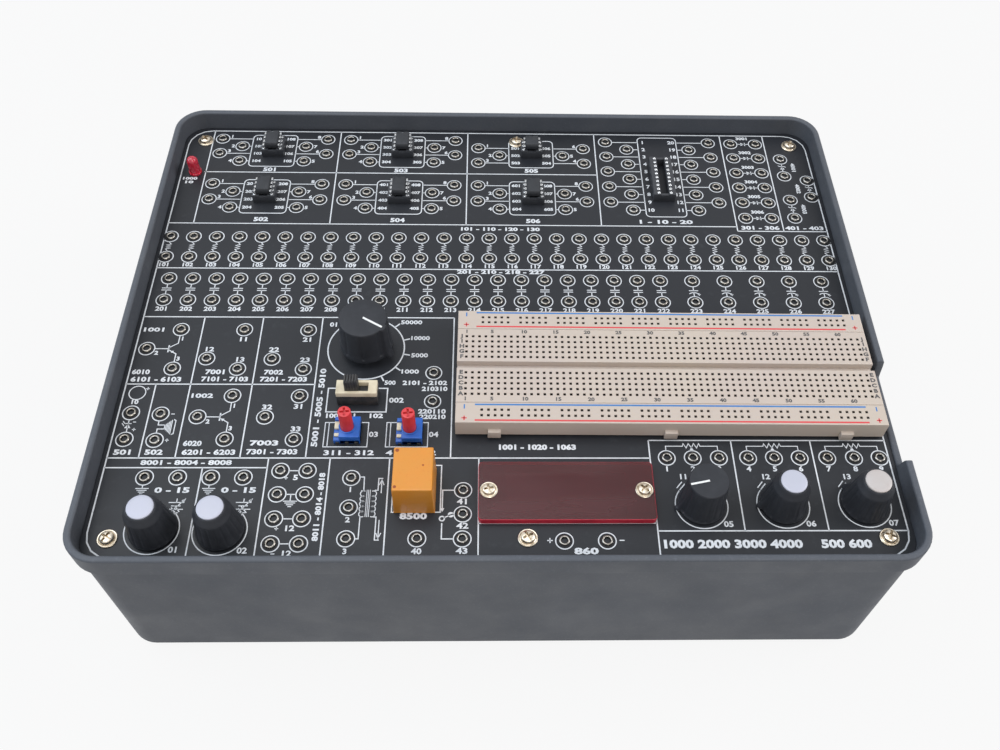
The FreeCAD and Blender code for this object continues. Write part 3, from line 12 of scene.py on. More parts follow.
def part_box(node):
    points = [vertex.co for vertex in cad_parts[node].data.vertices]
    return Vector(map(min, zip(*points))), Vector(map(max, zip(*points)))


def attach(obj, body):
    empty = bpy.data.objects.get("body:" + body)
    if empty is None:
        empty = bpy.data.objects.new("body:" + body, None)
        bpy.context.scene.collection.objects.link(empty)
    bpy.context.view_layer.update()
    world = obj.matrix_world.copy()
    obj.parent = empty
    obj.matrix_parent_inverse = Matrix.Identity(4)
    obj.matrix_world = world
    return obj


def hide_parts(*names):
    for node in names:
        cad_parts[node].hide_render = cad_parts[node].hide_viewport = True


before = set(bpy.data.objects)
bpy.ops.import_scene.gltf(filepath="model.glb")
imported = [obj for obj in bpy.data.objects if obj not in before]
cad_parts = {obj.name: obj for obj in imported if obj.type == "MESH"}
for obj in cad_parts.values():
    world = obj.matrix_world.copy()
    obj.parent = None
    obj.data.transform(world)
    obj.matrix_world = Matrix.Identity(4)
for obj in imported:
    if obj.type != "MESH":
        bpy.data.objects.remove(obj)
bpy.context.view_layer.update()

MM = 0.001
FULL = 2 * math.pi
GRID = 10.0  # step of the panel's layout
PITCH = 2.54  # between pins, and between the breadboard's holes
PANEL = 77.0  # height of the panel's face
RIM_TOP = 86.0
draw = random.Random(41)
paint = {}

# ---------------------------------------------------------------- materials


def linear(colour):
    """A display colour from 0 to 255 as the linear colour that a shader takes."""
    shares = [part / 255 for part in colour]
    return (*(share / 12.92 if share <= 0.04045 else ((share + 0.055) / 1.055) ** 2.4 for share in shares), 1)


def add_node(tree, kind, inputs, output, **settings):
    """The output of a new node, whose inputs are each a plain value or a socket to link."""
    made = tree.nodes.new(kind)
    for label, value in settings.items():
        setattr(made, label, value)
    for label, value in inputs.items():
        feed(tree, made.inputs[label], value)
    return made.outputs[output]


def feed(tree, socket, value):
    if isinstance(value, bpy.types.NodeSocket):
        tree.links.new(value, socket)
    else:
        socket.default_value = value


def coat(name, colour, rough, *marks, gloss=None, grain=(), metal=0.0, **sockets):
    """A procedural material.

    Each mark mixes a colour in: spots per metre, colour, low, high, strength, stretch. The gloss gives the
    roughness: spots per metre, low, high, stretch. Each grain is a bump: spots per metre, depth, strength,
    stretch.
    """
    paint[name] = bpy.data.materials.new(name)
    paint[name].use_nodes = True
    tree = paint[name].node_tree
    shader = tree.nodes["Principled BSDF"].inputs
    sockets.update(Base_Color=linear(colour), Roughness=rough, Metallic=metal)
    for label, value in sockets.items():
        shader[label.replace("_", " ")].default_value = value
    spot_place = add_node(tree, "ShaderNodeTexCoord", {}, "Object")

    def noise(scale, stretch):
        place = spot_place
        if stretch:
            place = add_node(tree, "ShaderNodeMapping", {"Vector": place, "Scale": stretch}, "Vector")
        inputs = {"Vector": place, "Scale": scale, "Detail": 3.0, "Roughness": 0.6}
        return add_node(tree, "ShaderNodeTexNoise", inputs, "Fac")

    def spread(value, low, high, start, end):
        inputs = {"Value": value, "From Min": low, "From Max": high, "To Min": start, "To Max": end}
        return add_node(tree, "ShaderNodeMapRange", inputs, "Result")

    def mottle(scale, tint, low=0.4, high=0.7, strength=1.0, stretch=None):
        amount = spread(noise(scale, stretch), low, high, 0.0, strength)
        inputs = {"A": tone, "B": linear(tint), "Factor": amount}
        return add_node(tree, "ShaderNodeMix", inputs, "Result", data_type="RGBA")

    tone = linear(colour)
    for mark in marks:
        tone = mottle(*mark)
        feed(tree, shader["Base Color"], tone)
    if gloss:
        scale, low, high, *stretch = gloss
        feed(tree, shader["Roughness"], spread(noise(scale, *(stretch or [None])), 0.3, 0.7, low, high))
    normal = None
    for scale, depth, strength, *stretch in grain:
        height = noise(scale, *(stretch or [None]))
        inputs = {"Strength": strength, "Distance": depth * MM, "Height": height}
        if normal:
            inputs["Normal"] = normal
        normal = add_node(tree, "ShaderNodeBump", inputs, "Normal")
        feed(tree, shader["Normal"], normal)


coat("tray_plastic", (75, 78, 84), 0.55, (9, (72, 77, 86), 0.35, 0.65, 0.5),
     (900, (100, 104, 112), 0.55, 0.75, 0.35), (60, (86, 88, 92), 0.5, 0.75, 0.4),
     gloss=(40, 0.46, 0.62), grain=[(1400, 0.04, 0.5), (25, 0.12, 0.12)], Specular_IOR_Level=0.4)
coat("panel_board", (34, 36, 41), 0.5, (14, (32, 34, 38), 0.35, 0.65, 0.8),
     (220, (52, 55, 59), 0.58, 0.75, 0.35),
     gloss=(30, 0.36, 0.52), grain=[(900, 0.015, 0.4)], Specular_IOR_Level=0.3)
coat("panel_ink", (214, 216, 219), 0.6, (500, (176, 179, 184), 0.45, 0.7, 0.6),
     (40, (196, 199, 204), 0.4, 0.7, 0.6), grain=[(1500, 0.01, 0.3)])
coat("jack_nickel", (150, 148, 144), 0.22, (30, (138, 130, 118), 0.45, 0.7, 0.6),
     (700, (112, 109, 104), 0.55, 0.8, 0.5), gloss=(300, 0.14, 0.3), grain=[(800, 0.01, 0.3)], metal=1.0)
coat("screw_nickel", (214, 204, 188), 0.26, (400, (156, 140, 116), 0.45, 0.75, 0.7),
     (90, (128, 112, 92), 0.6, 0.8, 0.5), gloss=(500, 0.2, 0.42), grain=[(900, 0.02, 0.4)], metal=1.0)
# Near-black in the jacks' bores: painted shade deep in the holes.
coat("jack_bore_painted_shade", (12, 12, 13), 0.7, (300, (20, 20, 22)), Specular_IOR_Level=0.2)
# A flat dark ring on the panel round each collar: painted shade of the gap round the jack.
coat("jack_gap_painted_shade", (24, 25, 28), 0.6, (400, (36, 37, 40), 0.5, 0.75, 0.6), Specular_IOR_Level=0.3)
coat("socket_black", (46, 48, 53), 0.45, (300, (52, 54, 58), 0.5, 0.75, 0.6),
     gloss=(200, 0.36, 0.55), grain=[(1600, 0.01, 0.4)])
coat("chip_black", (42, 44, 48), 0.6, (900, (50, 51, 54), 0.5, 0.8, 0.5),
     gloss=(300, 0.5, 0.68), grain=[(2600, 0.012, 0.6)], Specular_IOR_Level=0.35)
coat("pin_tin", (206, 208, 210), 0.24, (500, (160, 162, 166), 0.5, 0.75), gloss=(500, 0.18, 0.34), metal=1.0)
coat("board_white", (187, 173, 163), 0.42, (12, (192, 180, 163), 0.4, 0.7, 0.6),
     (260, (180, 167, 156), 0.6, 0.8, 0.25), gloss=(60, 0.36, 0.5), grain=[(1200, 0.012, 0.3)],
     Subsurface_Weight=0.08, Subsurface_Radius=(0.002, 0.0015, 0.001))
# Dark wells of the breadboard's holes, paler on the rails: painted shade inside the holes.
coat("board_holes_painted_shade", (46, 42, 40), 0.6, (400, (64, 60, 56), 0.45, 0.65), Specular_IOR_Level=0.2)
coat("rail_holes_painted_shade", (98, 90, 84), 0.5, (400, (70, 66, 62), 0.4, 0.65), Specular_IOR_Level=0.3)
for name, colour, faded in (
        ("board_red", (206, 62, 66), (190, 84, 84)), ("board_blue", (52, 112, 176), (78, 128, 180)),
        ("board_print", (74, 72, 72), (104, 100, 98))):
    coat(name, colour, 0.55, (700, faded, 0.45, 0.75, 0.7), grain=[(1500, 0.01, 0.3)])
coat("lamp_red", (214, 58, 80), 0.14, (160, (190, 24, 50)), gloss=(200, 0.08, 0.2), grain=[(500, 0.01, 0.2)],
     Transmission_Weight=0.3, IOR=1.5, Subsurface_Weight=0.3, Subsurface_Radius=(0.003, 0.0006, 0.0006))
coat("relay_orange", (204, 134, 46), 0.4, (130, (210, 132, 40), 0.4, 0.7, 0.7),
     (900, (194, 112, 36), 0.6, 0.78, 0.6), gloss=(150, 0.3, 0.48), grain=[(500, 0.03, 0.35)],
     Subsurface_Weight=0.05, Subsurface_Radius=(0.002, 0.001, 0.0005))
# Darker orange in the dimples on the relay's top: painted shade in the shallow recesses.
coat("relay_dimple_painted_shade", (150, 72, 28), 0.6, (400, (120, 56, 24)))
# The window's pale streaked mark is a painted reflection on the glossy acrylic.
coat("window_red", (122, 42, 50), 0.16, (18, (128, 26, 40), 0.4, 0.7, 0.6),
     (30, (176, 126, 124), 0.5, 0.7, 0.32, (0.3, 2.6, 1)), gloss=(26, 0.1, 0.34, (0.4, 2.0, 1)),
     grain=[(60, 0.02, 0.15)], Transmission_Weight=0.8, IOR=1.49)
# Brighter red on the window's cut edges: painted light glowing along the acrylic's edges.
coat("window_edge_painted_light", (216, 46, 70), 0.4, (220, (184, 34, 56)), grain=[(700, 0.02, 0.4)],
     Transmission_Weight=0.2)
coat("display_dark", (58, 20, 24), 0.35, (60, (44, 16, 20)), gloss=(80, 0.28, 0.42))
coat("switch_black", (40, 41, 43), 0.5, (420, (70, 66, 64), 0.45, 0.7, 0.8),
     gloss=(250, 0.38, 0.6), grain=[(1300, 0.02, 0.5)])
coat("switch_cream", (214, 202, 176), 0.42, (240, (192, 178, 150), 0.45, 0.7, 0.7),
     gloss=(200, 0.34, 0.5), grain=[(900, 0.015, 0.4)])
coat("trimmer_blue", (26, 90, 178), 0.38, (200, (20, 72, 152), 0.4, 0.7, 0.7),
     (900, (46, 108, 190), 0.6, 0.8, 0.4), gloss=(200, 0.3, 0.46), grain=[(900, 0.02, 0.4)])
coat("trimmer_red", (206, 54, 60), 0.42, (260, (184, 40, 48), 0.4, 0.7, 0.7),
     gloss=(200, 0.34, 0.5), grain=[(800, 0.02, 0.4)], Subsurface_Weight=0.05)
coat("knob_black", (38, 40, 45), 0.5, (200, (48, 50, 55), 0.45, 0.75, 0.7),
     gloss=(120, 0.42, 0.6), grain=[(1500, 0.015, 0.5)], Specular_IOR_Level=0.3)
coat("cap_pale", (180, 181, 193), 0.38, (120, (186, 187, 202), 0.4, 0.7, 0.6),
     gloss=(120, 0.3, 0.46), grain=[(700, 0.01, 0.3)])
# The fifth knob's cap is a warmer, rougher grey than the others.
coat("cap_warm_grey", (180, 171, 167), 0.46, (160, (186, 182, 180), 0.4, 0.7, 0.7),
     gloss=(120, 0.36, 0.55), grain=[(600, 0.02, 0.4)])
coat("knob_mark", (228, 228, 226), 0.5, (600, (196, 196, 196), 0.45, 0.7, 0.6))
coat("bare_steel", (168, 170, 174), 0.34, (200, (132, 134, 138), 0.4, 0.7, 0.7),
     gloss=(300, 0.26, 0.46, (1, 6, 1)), metal=1.0)
coat("core_steel", (96, 94, 92), 0.5, (300, (72, 68, 64), 0.45, 0.7, 1.0, (1, 1, 14)),
     grain=[(800, 0.05, 0.5, (1, 1, 9))], metal=0.9)
coat("winding_tape", (196, 170, 92), 0.42, (90, (176, 148, 70), 0.4, 0.7, 1.0, (1, 1, 4)),
     grain=[(200, 0.08, 0.4, (1, 1, 6))])
coat("circuit_green", (26, 96, 58), 0.4, (90, (20, 78, 46), 0.45, 0.55),
     (600, (44, 116, 76), 0.55, 0.75, 0.4),
     grain=[(300, 0.03, 0.4)])
coat("capacitor_sleeve", (36, 40, 66), 0.35, (120, (28, 32, 54)), gloss=(90, 0.28, 0.42),
     grain=[(300, 0.02, 0.3)])
coat("sink_aluminium", (180, 182, 186), 0.42, (240, (150, 152, 156), 0.4, 0.7, 1.0, (1, 1, 9)),
     gloss=(300, 0.34, 0.52, (1, 1, 9)), metal=0.95)
coat("speaker_paper", (50, 48, 46), 0.85, (500, (70, 66, 62), 0.45, 0.7), grain=[(900, 0.1, 0.6)])
coat("inlet_black", (30, 31, 33), 0.42, (300, (44, 45, 47), 0.5, 0.75),
     gloss=(160, 0.34, 0.5), grain=[(1200, 0.02, 0.4)])
coat("rocker_red", (176, 26, 30), 0.25, (160, (150, 18, 24)), gloss=(120, 0.2, 0.34),
     grain=[(600, 0.01, 0.3)], Coat_Weight=0.3)
coat("foot_rubber", (30, 30, 31), 0.8, (300, (52, 51, 50), 0.5, 0.75, 0.6), grain=[(1100, 0.05, 0.6)])

# ---------------------------------------------------------------- mesh tools


def shown(name, data):
    """A new object in the scene."""
    thing = bpy.data.objects.new(name, data)
    bpy.context.scene.collection.objects.link(thing)
    return thing


class Piece:
    """Corners and faces of one piece, each face with its material's place."""

    def __init__(self):
        self.corners = []
        self.faces = []
        self.slots = []

    def add(self, part, at=(0, 0, 0), turn=0.0, slot=0):
        corners, faces = part
        cos, sin = math.cos(turn), math.sin(turn)
        start = len(self.corners)
        for x, y, z in corners:
            self.corners.append((x * cos - y * sin + at[0], x * sin + y * cos + at[1], z + at[2]))
        self.faces += [[start + place for place in face] for face in faces]
        self.slots += [slot] * len(faces)
        return self

    def make(self, name, colours, finish, stands_for=None, body="base", angle=35, flat=False):
        """The finished object, riding on its body."""
        mesh = bpy.data.meshes.new(name)
        mesh.from_pydata([Vector(corner) * MM for corner in self.corners], [], self.faces)
        for colour in colours:
            mesh.materials.append(paint[colour])
        mesh.polygons.foreach_set("material_index", self.slots)
        mesh.validate()
        mesh.update()
        if not flat:
            mesh.shade_smooth()
            mesh.set_sharp_from_angle(angle=math.radians(angle))
        thing = shown(name, mesh)
        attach(thing, body)
        if stands_for:
            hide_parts(stands_for)
        return thing


def skin(loops, cap_start=True, cap_end=True, close=False):
    """Closed loops of equal counts joined in order, each loop running the same way round."""
    count, total = len(loops[0]), len(loops)
    corners = [corner for loop in loops for corner in loop]
    faces = []
    for row in range(total if close else total - 1):
        low, high = row * count, (row + 1) % total * count
        for place in range(count):
            after = (place + 1) % count
            faces.append([low + place, low + after, high + after, high + place])
    if cap_start and not close:
        faces.append(list(range(count))[::-1])
    if cap_end and not close:
        faces.append(list(range((total - 1) * count, total * count)))
    return corners, faces


def circle(radius, height, sides):
    angles = [FULL * place / sides for place in range(sides)]
    return [(radius * math.cos(angle), radius * math.sin(angle), height) for angle in angles]


def lathe(profile, sides=32, cap_start=True, cap_end=True):
    """A profile of (radius, height) turned about the vertical, from the foot's middle outwards."""
    return skin([circle(radius, height, sides) for radius, height in profile], cap_start, cap_end)


def rounded(length, width, radius, height=0.0, steps=6):
    """A rectangle with rounded corners as one closed loop."""
    loop = []
    for quarter, (side, end) in enumerate(((1, 1), (-1, 1), (-1, -1), (1, -1))):
        for step in range(steps + 1):
            angle = math.pi / 2 * (quarter + step / steps)
            loop.append((side * (length / 2 - radius) + radius * math.cos(angle),
                         end * (width / 2 - radius) + radius * math.sin(angle), height))
    return loop


def block(length, width, height, bevel=0.3, base=0.0):
    """A box with eased edges, standing on its base."""
    loops = []
    for low in (True, False):
        for step in range(3):
            share = math.pi / 4 * (step if low else 2 - step)
            inset = bevel * (1 - math.sin(share))
            rise = bevel * (1 - math.cos(share)) if low else height - bevel * (1 - math.cos(share))
            loops.append(rounded(length - inset * 2, width - inset * 2, max(bevel + 0.01 - inset, 0.01),
                                 base + rise, 3))
    return skin(loops)


def shifted(part, x=0.0, y=0.0, z=0.0):
    corners, faces = part
    return [(a + x, b + y, c + z) for a, b, c in corners], faces


def carved(part, *tools):
    """A part with the tools cut out of it, one after another."""
    for tool in tools:
        things = []
        for corners, faces in (part, tool):
            mesh = bpy.data.meshes.new("carving")
            mesh.from_pydata(corners, [], faces)
            things.append(shown("carving", mesh))
        cut = things[0].modifiers.new("cut", "BOOLEAN")
        cut.object = things[1]
        cut.solver = "EXACT"
        mesh = evaluated(things[0]).to_mesh()
        part = [tuple(v.co) for v in mesh.vertices], [list(face.vertices) for face in mesh.polygons]
        for thing in things:
            mesh = thing.data
            bpy.data.objects.remove(thing)
            bpy.data.meshes.remove(mesh)
    return part


def evaluated(thing):
    graph = bpy.context.evaluated_depsgraph_get()
    graph.update()
    return thing.evaluated_get(graph)


def bake(thing):
    """Applies an object's modifiers to its mesh."""
    mesh = bpy.data.meshes.new_from_object(evaluated(thing))
    thing.modifiers.clear()
    thing.data = mesh


def words(text, size, weight):
    """Flat characters around the origin, of that height."""
    curve = bpy.data.curves.new("characters", "FONT")
    curve.body = text
    curve.size = size * 1.38
    curve.align_x = curve.align_y = "CENTER"
    curve.resolution_u = 2
    curve.offset = weight
    thing = bpy.data.objects.new("characters", curve)
    mesh = bpy.data.meshes.new_from_object(thing)
    corners = [(v.co.x, v.co.y, 0.0) for v in mesh.vertices]
    faces = [list(face.vertices) for face in mesh.polygons]
    bpy.data.objects.remove(thing)
    bpy.data.curves.remove(curve)
    bpy.data.meshes.remove(mesh)
    return corners, faces


class Print(Piece):
    """Printed marks on a level face."""

    def line(self, points, width=0.42, close=False):
        """A line of even width with mitred bends."""
        count = len(points)
        left, right = [], []
        for place, (x, y) in enumerate(points):
            ways = []
            if place or close:
                before = points[place - 1]
                ways.append(Vector((x - before[0], y - before[1])).normalized())
            if place < count - 1 or close:
                after = points[(place + 1) % count]
                ways.append(Vector((after[0] - x, after[1] - y)).normalized())
            way = (ways[0] + ways[-1]).normalized() if (ways[0] + ways[-1]).length > 0.2 else ways[0]
            reach = width / 2 / max(0.5, way.dot(ways[0]))
            left.append((x - way.y * reach, y + way.x * reach, 0.0))
            right.append((x + way.y * reach, y - way.x * reach, 0.0))
        faces = []
        for place in range(count if close else count - 1):
            after = (place + 1) % count
            faces.append([place, count + place, count + after, after])
        self.add((left + right, faces))

    def lines(self, *runs, width=0.42):
        for run in runs:
            self.line(run, width)

    def level(self, start, end, y, width=0.42):
        self.line([(start, y), (end, y)], width)

    def upright(self, x, start, end, width=0.42):
        self.line([(x, start), (x, end)], width)

    def arc(self, x, y, radius, start=0.0, end=360.0, width=0.42):
        whole = abs(end - start) >= 360
        steps = max(6, int(abs(end - start) / 360 * (18 + radius * 3)))
        points = []
        for step in range(steps if whole else steps + 1):
            angle = math.radians(start + (end - start) * step / steps)
            points.append((x + radius * math.cos(angle), y + radius * math.sin(angle)))
        self.line(points, width, close=whole)

    def frame(self, left, right, low, high, corner=0.0, width=0.42):
        if corner:
            loop = rounded(right - left, high - low, corner, steps=4)
            points = [(x + (left + right) / 2, y + (low + high) / 2) for x, y, _ in loop]
        else:
            points = [(right, high), (left, high), (left, low), (right, low)]
        self.line(points, width, close=True)

    def fill(self, *points):
        self.add(([(x, y, 0.0) for x, y in points], [list(range(len(points)))]))

    def plus(self, x, y, reach, width=0.32):
        self.level(x - reach, x + reach, y, width)
        self.upright(x, y - reach, y + reach, width)

    def text(self, text, x, y, size=1.9, weight=0.1, stretch=1.15, turn=0.0):
        corners, faces = words(str(text), size, weight)
        self.add(([(a * stretch, b, c) for a, b, c in corners], faces), (x, y, 0), math.radians(turn))

    def count(self, first, jacks, drop, size, stretch=1.15, shift=0.0):
        """Numbers below the jacks, counted from the first."""
        for number, (x, y) in enumerate(map(spot, jacks), start=first):
            self.text(number, x + shift, y - drop, size, stretch=stretch)

    def title(self, text, start, end, size=2.2, weight=0.12):
        """Characters stretched to run from one point to another."""
        corners, faces = words(text, size, weight)
        low = min(corner[0] for corner in corners)
        high = max(corner[0] for corner in corners)
        way = Vector((end[0] - start[0], end[1] - start[1]))
        share = way.length / (high - low)
        made = [((x - low) * share, y, z) for x, y, z in corners]
        self.add((made, faces), (*start, 0), math.atan2(way.y, way.x))

    def print_on(self, name, height, colour, finish):
        thing = self.make(name, [colour], finish, flat=True)
        depth = 0.05 * MM
        for corner in thing.data.vertices:
            corner.co.z += height * MM + depth * 0.6
        solid = thing.modifiers.new("ink", "SOLIDIFY")
        solid.thickness = depth
        solid.offset = -1
        return thing


# ---------------------------------------------------------------- layout, in grid steps from the middle

BLOCK_COLUMNS = [-10.72, -4.625, 1.48]
BLOCK_ROWS = [9.92, 6.865]
BLOCK_JACK_ROWS = [(0.76, 2.5), (0.25, 1.5), (-0.25, 2.5), (-0.76, 1.5)]
COUPLER_ROW = 9.67
COUPLER_JACK_ROWS = [(0.51, 2.5), (0.0, 1.5), (-0.51, 2.5)]
LONG_BLOCK = (7.585, 8.36)
LONG_ROWS = 10
LONG_PITCH = 0.508
LONG_SOCKET = (7.55, 7.96)
DIODE_COLUMNS = [11.18, 12.38]
DIODE_ROWS = [10.63, 9.63, 8.61, 7.62, 6.64, 5.64]
ZENERS = [((13.43, 9.58), (13.43, 8.42)), ((14.46, 8.13), (14.46, 7.03)), ((13.44, 6.83), (13.44, 5.67))]
RESISTOR_ROWS = [4.27, 3.07]
CAPACITOR_ROWS = [1.83, 0.64]
RESISTORS = [-14.5 + place for place in range(30)]
CAPACITORS = [-14.12 + place for place in range(22)]
LARGE_CAPACITORS = [8.27 + 1.407 * place for place in range(5)]
NPN = [(-13.11, -0.94), (-14.31, -1.93), (-13.11, -2.92)]
PNP = [(-10.53, -4.23), (-11.72, -5.22), (-10.53, -6.23)]
REGULATORS = [
    [(-10.53, -0.94), (-11.83, -2.42), (-10.53, -2.93)],
    [(-7.92, -0.95), (-9.22, -2.43), (-7.92, -2.94)],
    [(-7.92, -4.24), (-9.14, -5.23), (-7.92, -6.24)]]
LED_JACKS = [(-14.29, -5.04), (-14.29, -6.24)]
SPEAKER_JACKS = [(-13.15, -5.09), (-13.15, -6.28)]
WAVE_JACKS = [(-2.71, -3.1), (-2.71, -4.48)]
VARIABLE_JACKS = [(-13.2, -7.9), (-11.99, -7.9), (-10.78, -7.9), (-9.58, -7.9)]
FIXED_COLUMNS = [-8.25, -7.25]
FIXED_ROWS = [-7.61, -8.61, -9.61, -10.6]
WINDING_JACKS = [(-5.6, -7.92), (-5.6, -9.16), (-5.6, -10.41)]
RELAY_JACKS = [(-1.45, -8.44), (-1.45, -9.43), (-1.45, -10.42)]
RELAY_IN = (-3.07, -10.41)
METER_JACKS = [(2.21, -10.51), (3.75, -10.51)]
TRACK_JACKS = [6.25, 7.24, 8.24, 9.36, 10.35, 11.34, 12.4, 13.43, 14.42]
TRACK_ROW = -7.05
SCREWS = [(-14.0, 10.5), (0.8, 10.6), (14.0, 10.5), (-14.0, -10.4), (0.9, -10.4), (14.0, -10.4)]
KNOBS = [(-12.46, -10.04), (-10.08, -10.06), (7.3, -9.05), (10.34, -9.04), (13.38, -9.03)]
KNOB_ANGLES = [140.0, 140.0, 192.0, 187.0, 133.0]
PLAIN_KNOB = 3  # counted from the left, from 1
WARM_GREY_CAP = 5
SELECTOR = (-5.44, -1.88)
SELECTOR_ANGLE = -31.5
SLIDE = (-5.61, -4.34)
TRIMMERS = [(-5.89, -5.95), (-3.53, -6.0)]
RELAY = (-3.21, -8.45)
WINDOW = (2.355, -8.61)
LAMP = (-14.13, 8.38)
BREADBOARD = (6.475, -3.4)
SOCKET_SHIFT = (0.3, 0.4)  # in mm, as all that follows
COUPLER_SHIFT = 2.3
OUTLINE_X = 147.65
RING = 3.14  # radius of the ring printed round a jack
LEAD = 3.4  # from a jack's middle to the line printed to it


def spot(shares):
    return shares[0] * GRID, shares[1] * GRID


def block_places():
    """Each chip block: its middle, its jack rows and its pins on a side."""
    made = []
    for column in BLOCK_COLUMNS:
        for row in BLOCK_ROWS:
            if (column, row) == (BLOCK_COLUMNS[2], BLOCK_ROWS[0]):
                made.append((spot((column, COUPLER_ROW)), COUPLER_JACK_ROWS, 3))
            else:
                made.append((spot((column, row)), BLOCK_JACK_ROWS, 4))
    return made


def long_row(row):
    """The height of a row of the long block, and its jacks' reach."""
    y = (BLOCK_ROWS[0] + BLOCK_JACK_ROWS[0][0] - row * LONG_PITCH) * GRID
    return y, BLOCK_JACK_ROWS[row % 2][1] * GRID


def jack_places():
    places = []
    for (x, y), rows, _ in block_places():
        for rise, reach in rows:
            places += [(x - reach * GRID, y + rise * GRID), (x + reach * GRID, y + rise * GRID)]
    for row in range(LONG_ROWS):
        y, reach = long_row(row)
        places += [(LONG_BLOCK[0] * GRID - reach, y), (LONG_BLOCK[0] * GRID + reach, y)]
    places += [spot((column, row)) for column in DIODE_COLUMNS for row in DIODE_ROWS]
    places += [spot(end) for pair in ZENERS for end in pair]
    places += [spot((column, row)) for column in RESISTORS for row in RESISTOR_ROWS]
    places += [spot((column, row)) for column in CAPACITORS + LARGE_CAPACITORS for row in CAPACITOR_ROWS]
    for group in (NPN, PNP, *REGULATORS, LED_JACKS, SPEAKER_JACKS, WAVE_JACKS, VARIABLE_JACKS,
                  WINDING_JACKS, RELAY_JACKS, [RELAY_IN], METER_JACKS):
        places += [spot(shares) for shares in group]
    places += [spot((column, row)) for column in FIXED_COLUMNS for row in FIXED_ROWS]
    places += [spot((column, TRACK_ROW)) for column in TRACK_JACKS]
    return places


# ---------------------------------------------------------------- case


def quarter(steps):
    """Shares of a quarter circle as (1 - cosine, 1 - sine), from its start to its end."""
    angles = [math.pi / 2 * step / steps for step in range(steps + 1)]
    return [(1 - math.cos(angle), 1 - math.sin(angle)) for angle in angles]


def make_tray():
    """The moulded tray as one wall swept round, its rim dipping at the notch on the right."""
    length, width, corner = 304.8, 234.3, 13.0
    wall, lip, lip_depth = 2.7, 1.8, 10.0
    bottom, floor, ledge, ease = 4.0, 7.0, 75.0, 0.95
    notch, notch_rise = (-74.0, -33.0), 0.35
    notch_floor = RIM_TOP - 8.0
    notch_rows = [-76.9, -76.1, -75.2, -74.4, -73.7, -72.8, -71.5, -36.5, -34.6, -33.6, -32.9, -32.3,
                  -31.8, -31.2]

    def rim_height(x, y):
        if x < length / 2 - 6:
            return RIM_TOP
        if notch[0] <= y <= notch[1]:
            inside = min(y - notch[0], notch[1] - y)
            return notch_floor + notch_rise * max(0.0, 1 - inside / 1.5) ** 2
        share = min(1.0, (y - notch[1]) / 1.8 if y > notch[1] else (notch[0] - y) / 2.9)
        start = notch_floor + notch_rise
        return start + (RIM_TOP - start) * (3 * share ** 2 - 2 * share ** 3)

    def ring(inset, radius, height=None, drop=0.0):
        """A loop inset from the lip's outline; without a height it follows the rim and the notch."""
        loop = [(x, y) for x, y, _ in rounded(length - inset * 2, width - inset * 2, radius, steps=10)]
        loop += [(length / 2 - inset, y) for y in notch_rows]
        return [(x, y, rim_height(x, y) - drop if height is None else height) for x, y in loop]

    loops = [ring(18, 5, bottom), ring(lip + 4.5, 8.5, bottom)]
    for rise, inset in quarter(5)[1:]:
        loops.append(ring(lip + 3.0 * inset, 11.2 - 2.4 * inset, bottom + 3.0 * rise))
    under = RIM_TOP - lip_depth
    loops += [ring(lip, 11.2, under - 0.5), ring(lip - 0.2, 11.3, under - 0.12), ring(lip - 0.6, 11.6, under)]
    loops += [ring(0.35, 12.7, under), ring(0.08, 12.95, under + 0.12), ring(0, corner, under + 0.5)]
    for inset, drop in quarter(6):
        loops.append(ring(ease * inset, corner - ease * inset, None, ease * drop))
    for inset, drop in quarter(6)[::-1]:
        loops.append(ring(wall - ease * inset, corner - wall + ease * inset, None, ease * drop))
    loops += [ring(wall, corner - wall, ledge), ring(lip + wall, corner - lip - wall, ledge - 0.1)]
    loops += [ring(lip + wall, 8.5, floor + 1), ring(lip + wall + 1, 8, floor), ring(18, 5, floor)]
    openings = Piece()
    for node in ("mains_inlet", "rocker_housing"):
        low, high = (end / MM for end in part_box(node))
        size, middle = high - low, (high + low) / 2
        openings.add(block(size.x - 4.4, 12, size.z - 4.4, 0.2), (middle.x, 115, middle.z - size.z / 2 + 2.2))
    for place in range(-3, 4):
        openings.add(block(3, 30, 9, 0.5), (-90.0 + 7 * place, -40.0, 1))
    part = carved(skin(loops), (openings.corners, openings.faces))
    tray = Piece().add(part).make("case_tray_shell", ["tray_plastic"], "case_plastic", "case_tray", angle=50)
    even = tray.modifiers.new("even_normals", "WEIGHTED_NORMAL")
    even.keep_sharp = True
    bake(tray)


def make_feet():
    feet = Piece()
    foot = lathe([(0.2, 0.6), (4.6, 0.6), (5.0, 0.0), (5.9, 0.0), (6.25, 0.3), (6.9, 3.7), (6.9, 4.3)])
    for x in (-126.6, 126.6):
        for y in (-91.35, 91.35):
            feet.add(foot, (x, y, 0))
    feet.make("feet", ["foot_rubber"], "foot_rubber", "rubber_feet")


def cross_screw(radius, height, shank, length):
    """A flanged pan head with a cross recess, its seat at the origin's level."""
    head = lathe([
        (shank, -length), (shank, -0.01), (radius * 0.97, 0.0), (radius, 0.12), (radius, 0.4),
        (radius * 0.95, 0.55), (radius * 0.87, 0.52), (radius * 0.81, 0.3), (radius * 0.76, 0.4),
        (radius * 0.73, height * 0.55), (radius * 0.66, height * 0.82), (radius * 0.52, height * 0.96),
        (radius * 0.28, height)], 40)
    arm, reach = radius * 0.26, radius * 1.12
    blades = []
    for along, across in ((reach, arm), (arm, reach)):
        outline = rounded(along, across, arm * 0.15, 0, 2)
        blades.append(skin([[(x * share, y * share, height * level) for x, y, _ in outline]
                            for share, level in ((0.62, 0.2), (1.0, 1.02), (1.02, 1.3))]))
    return carved(head, *blades)


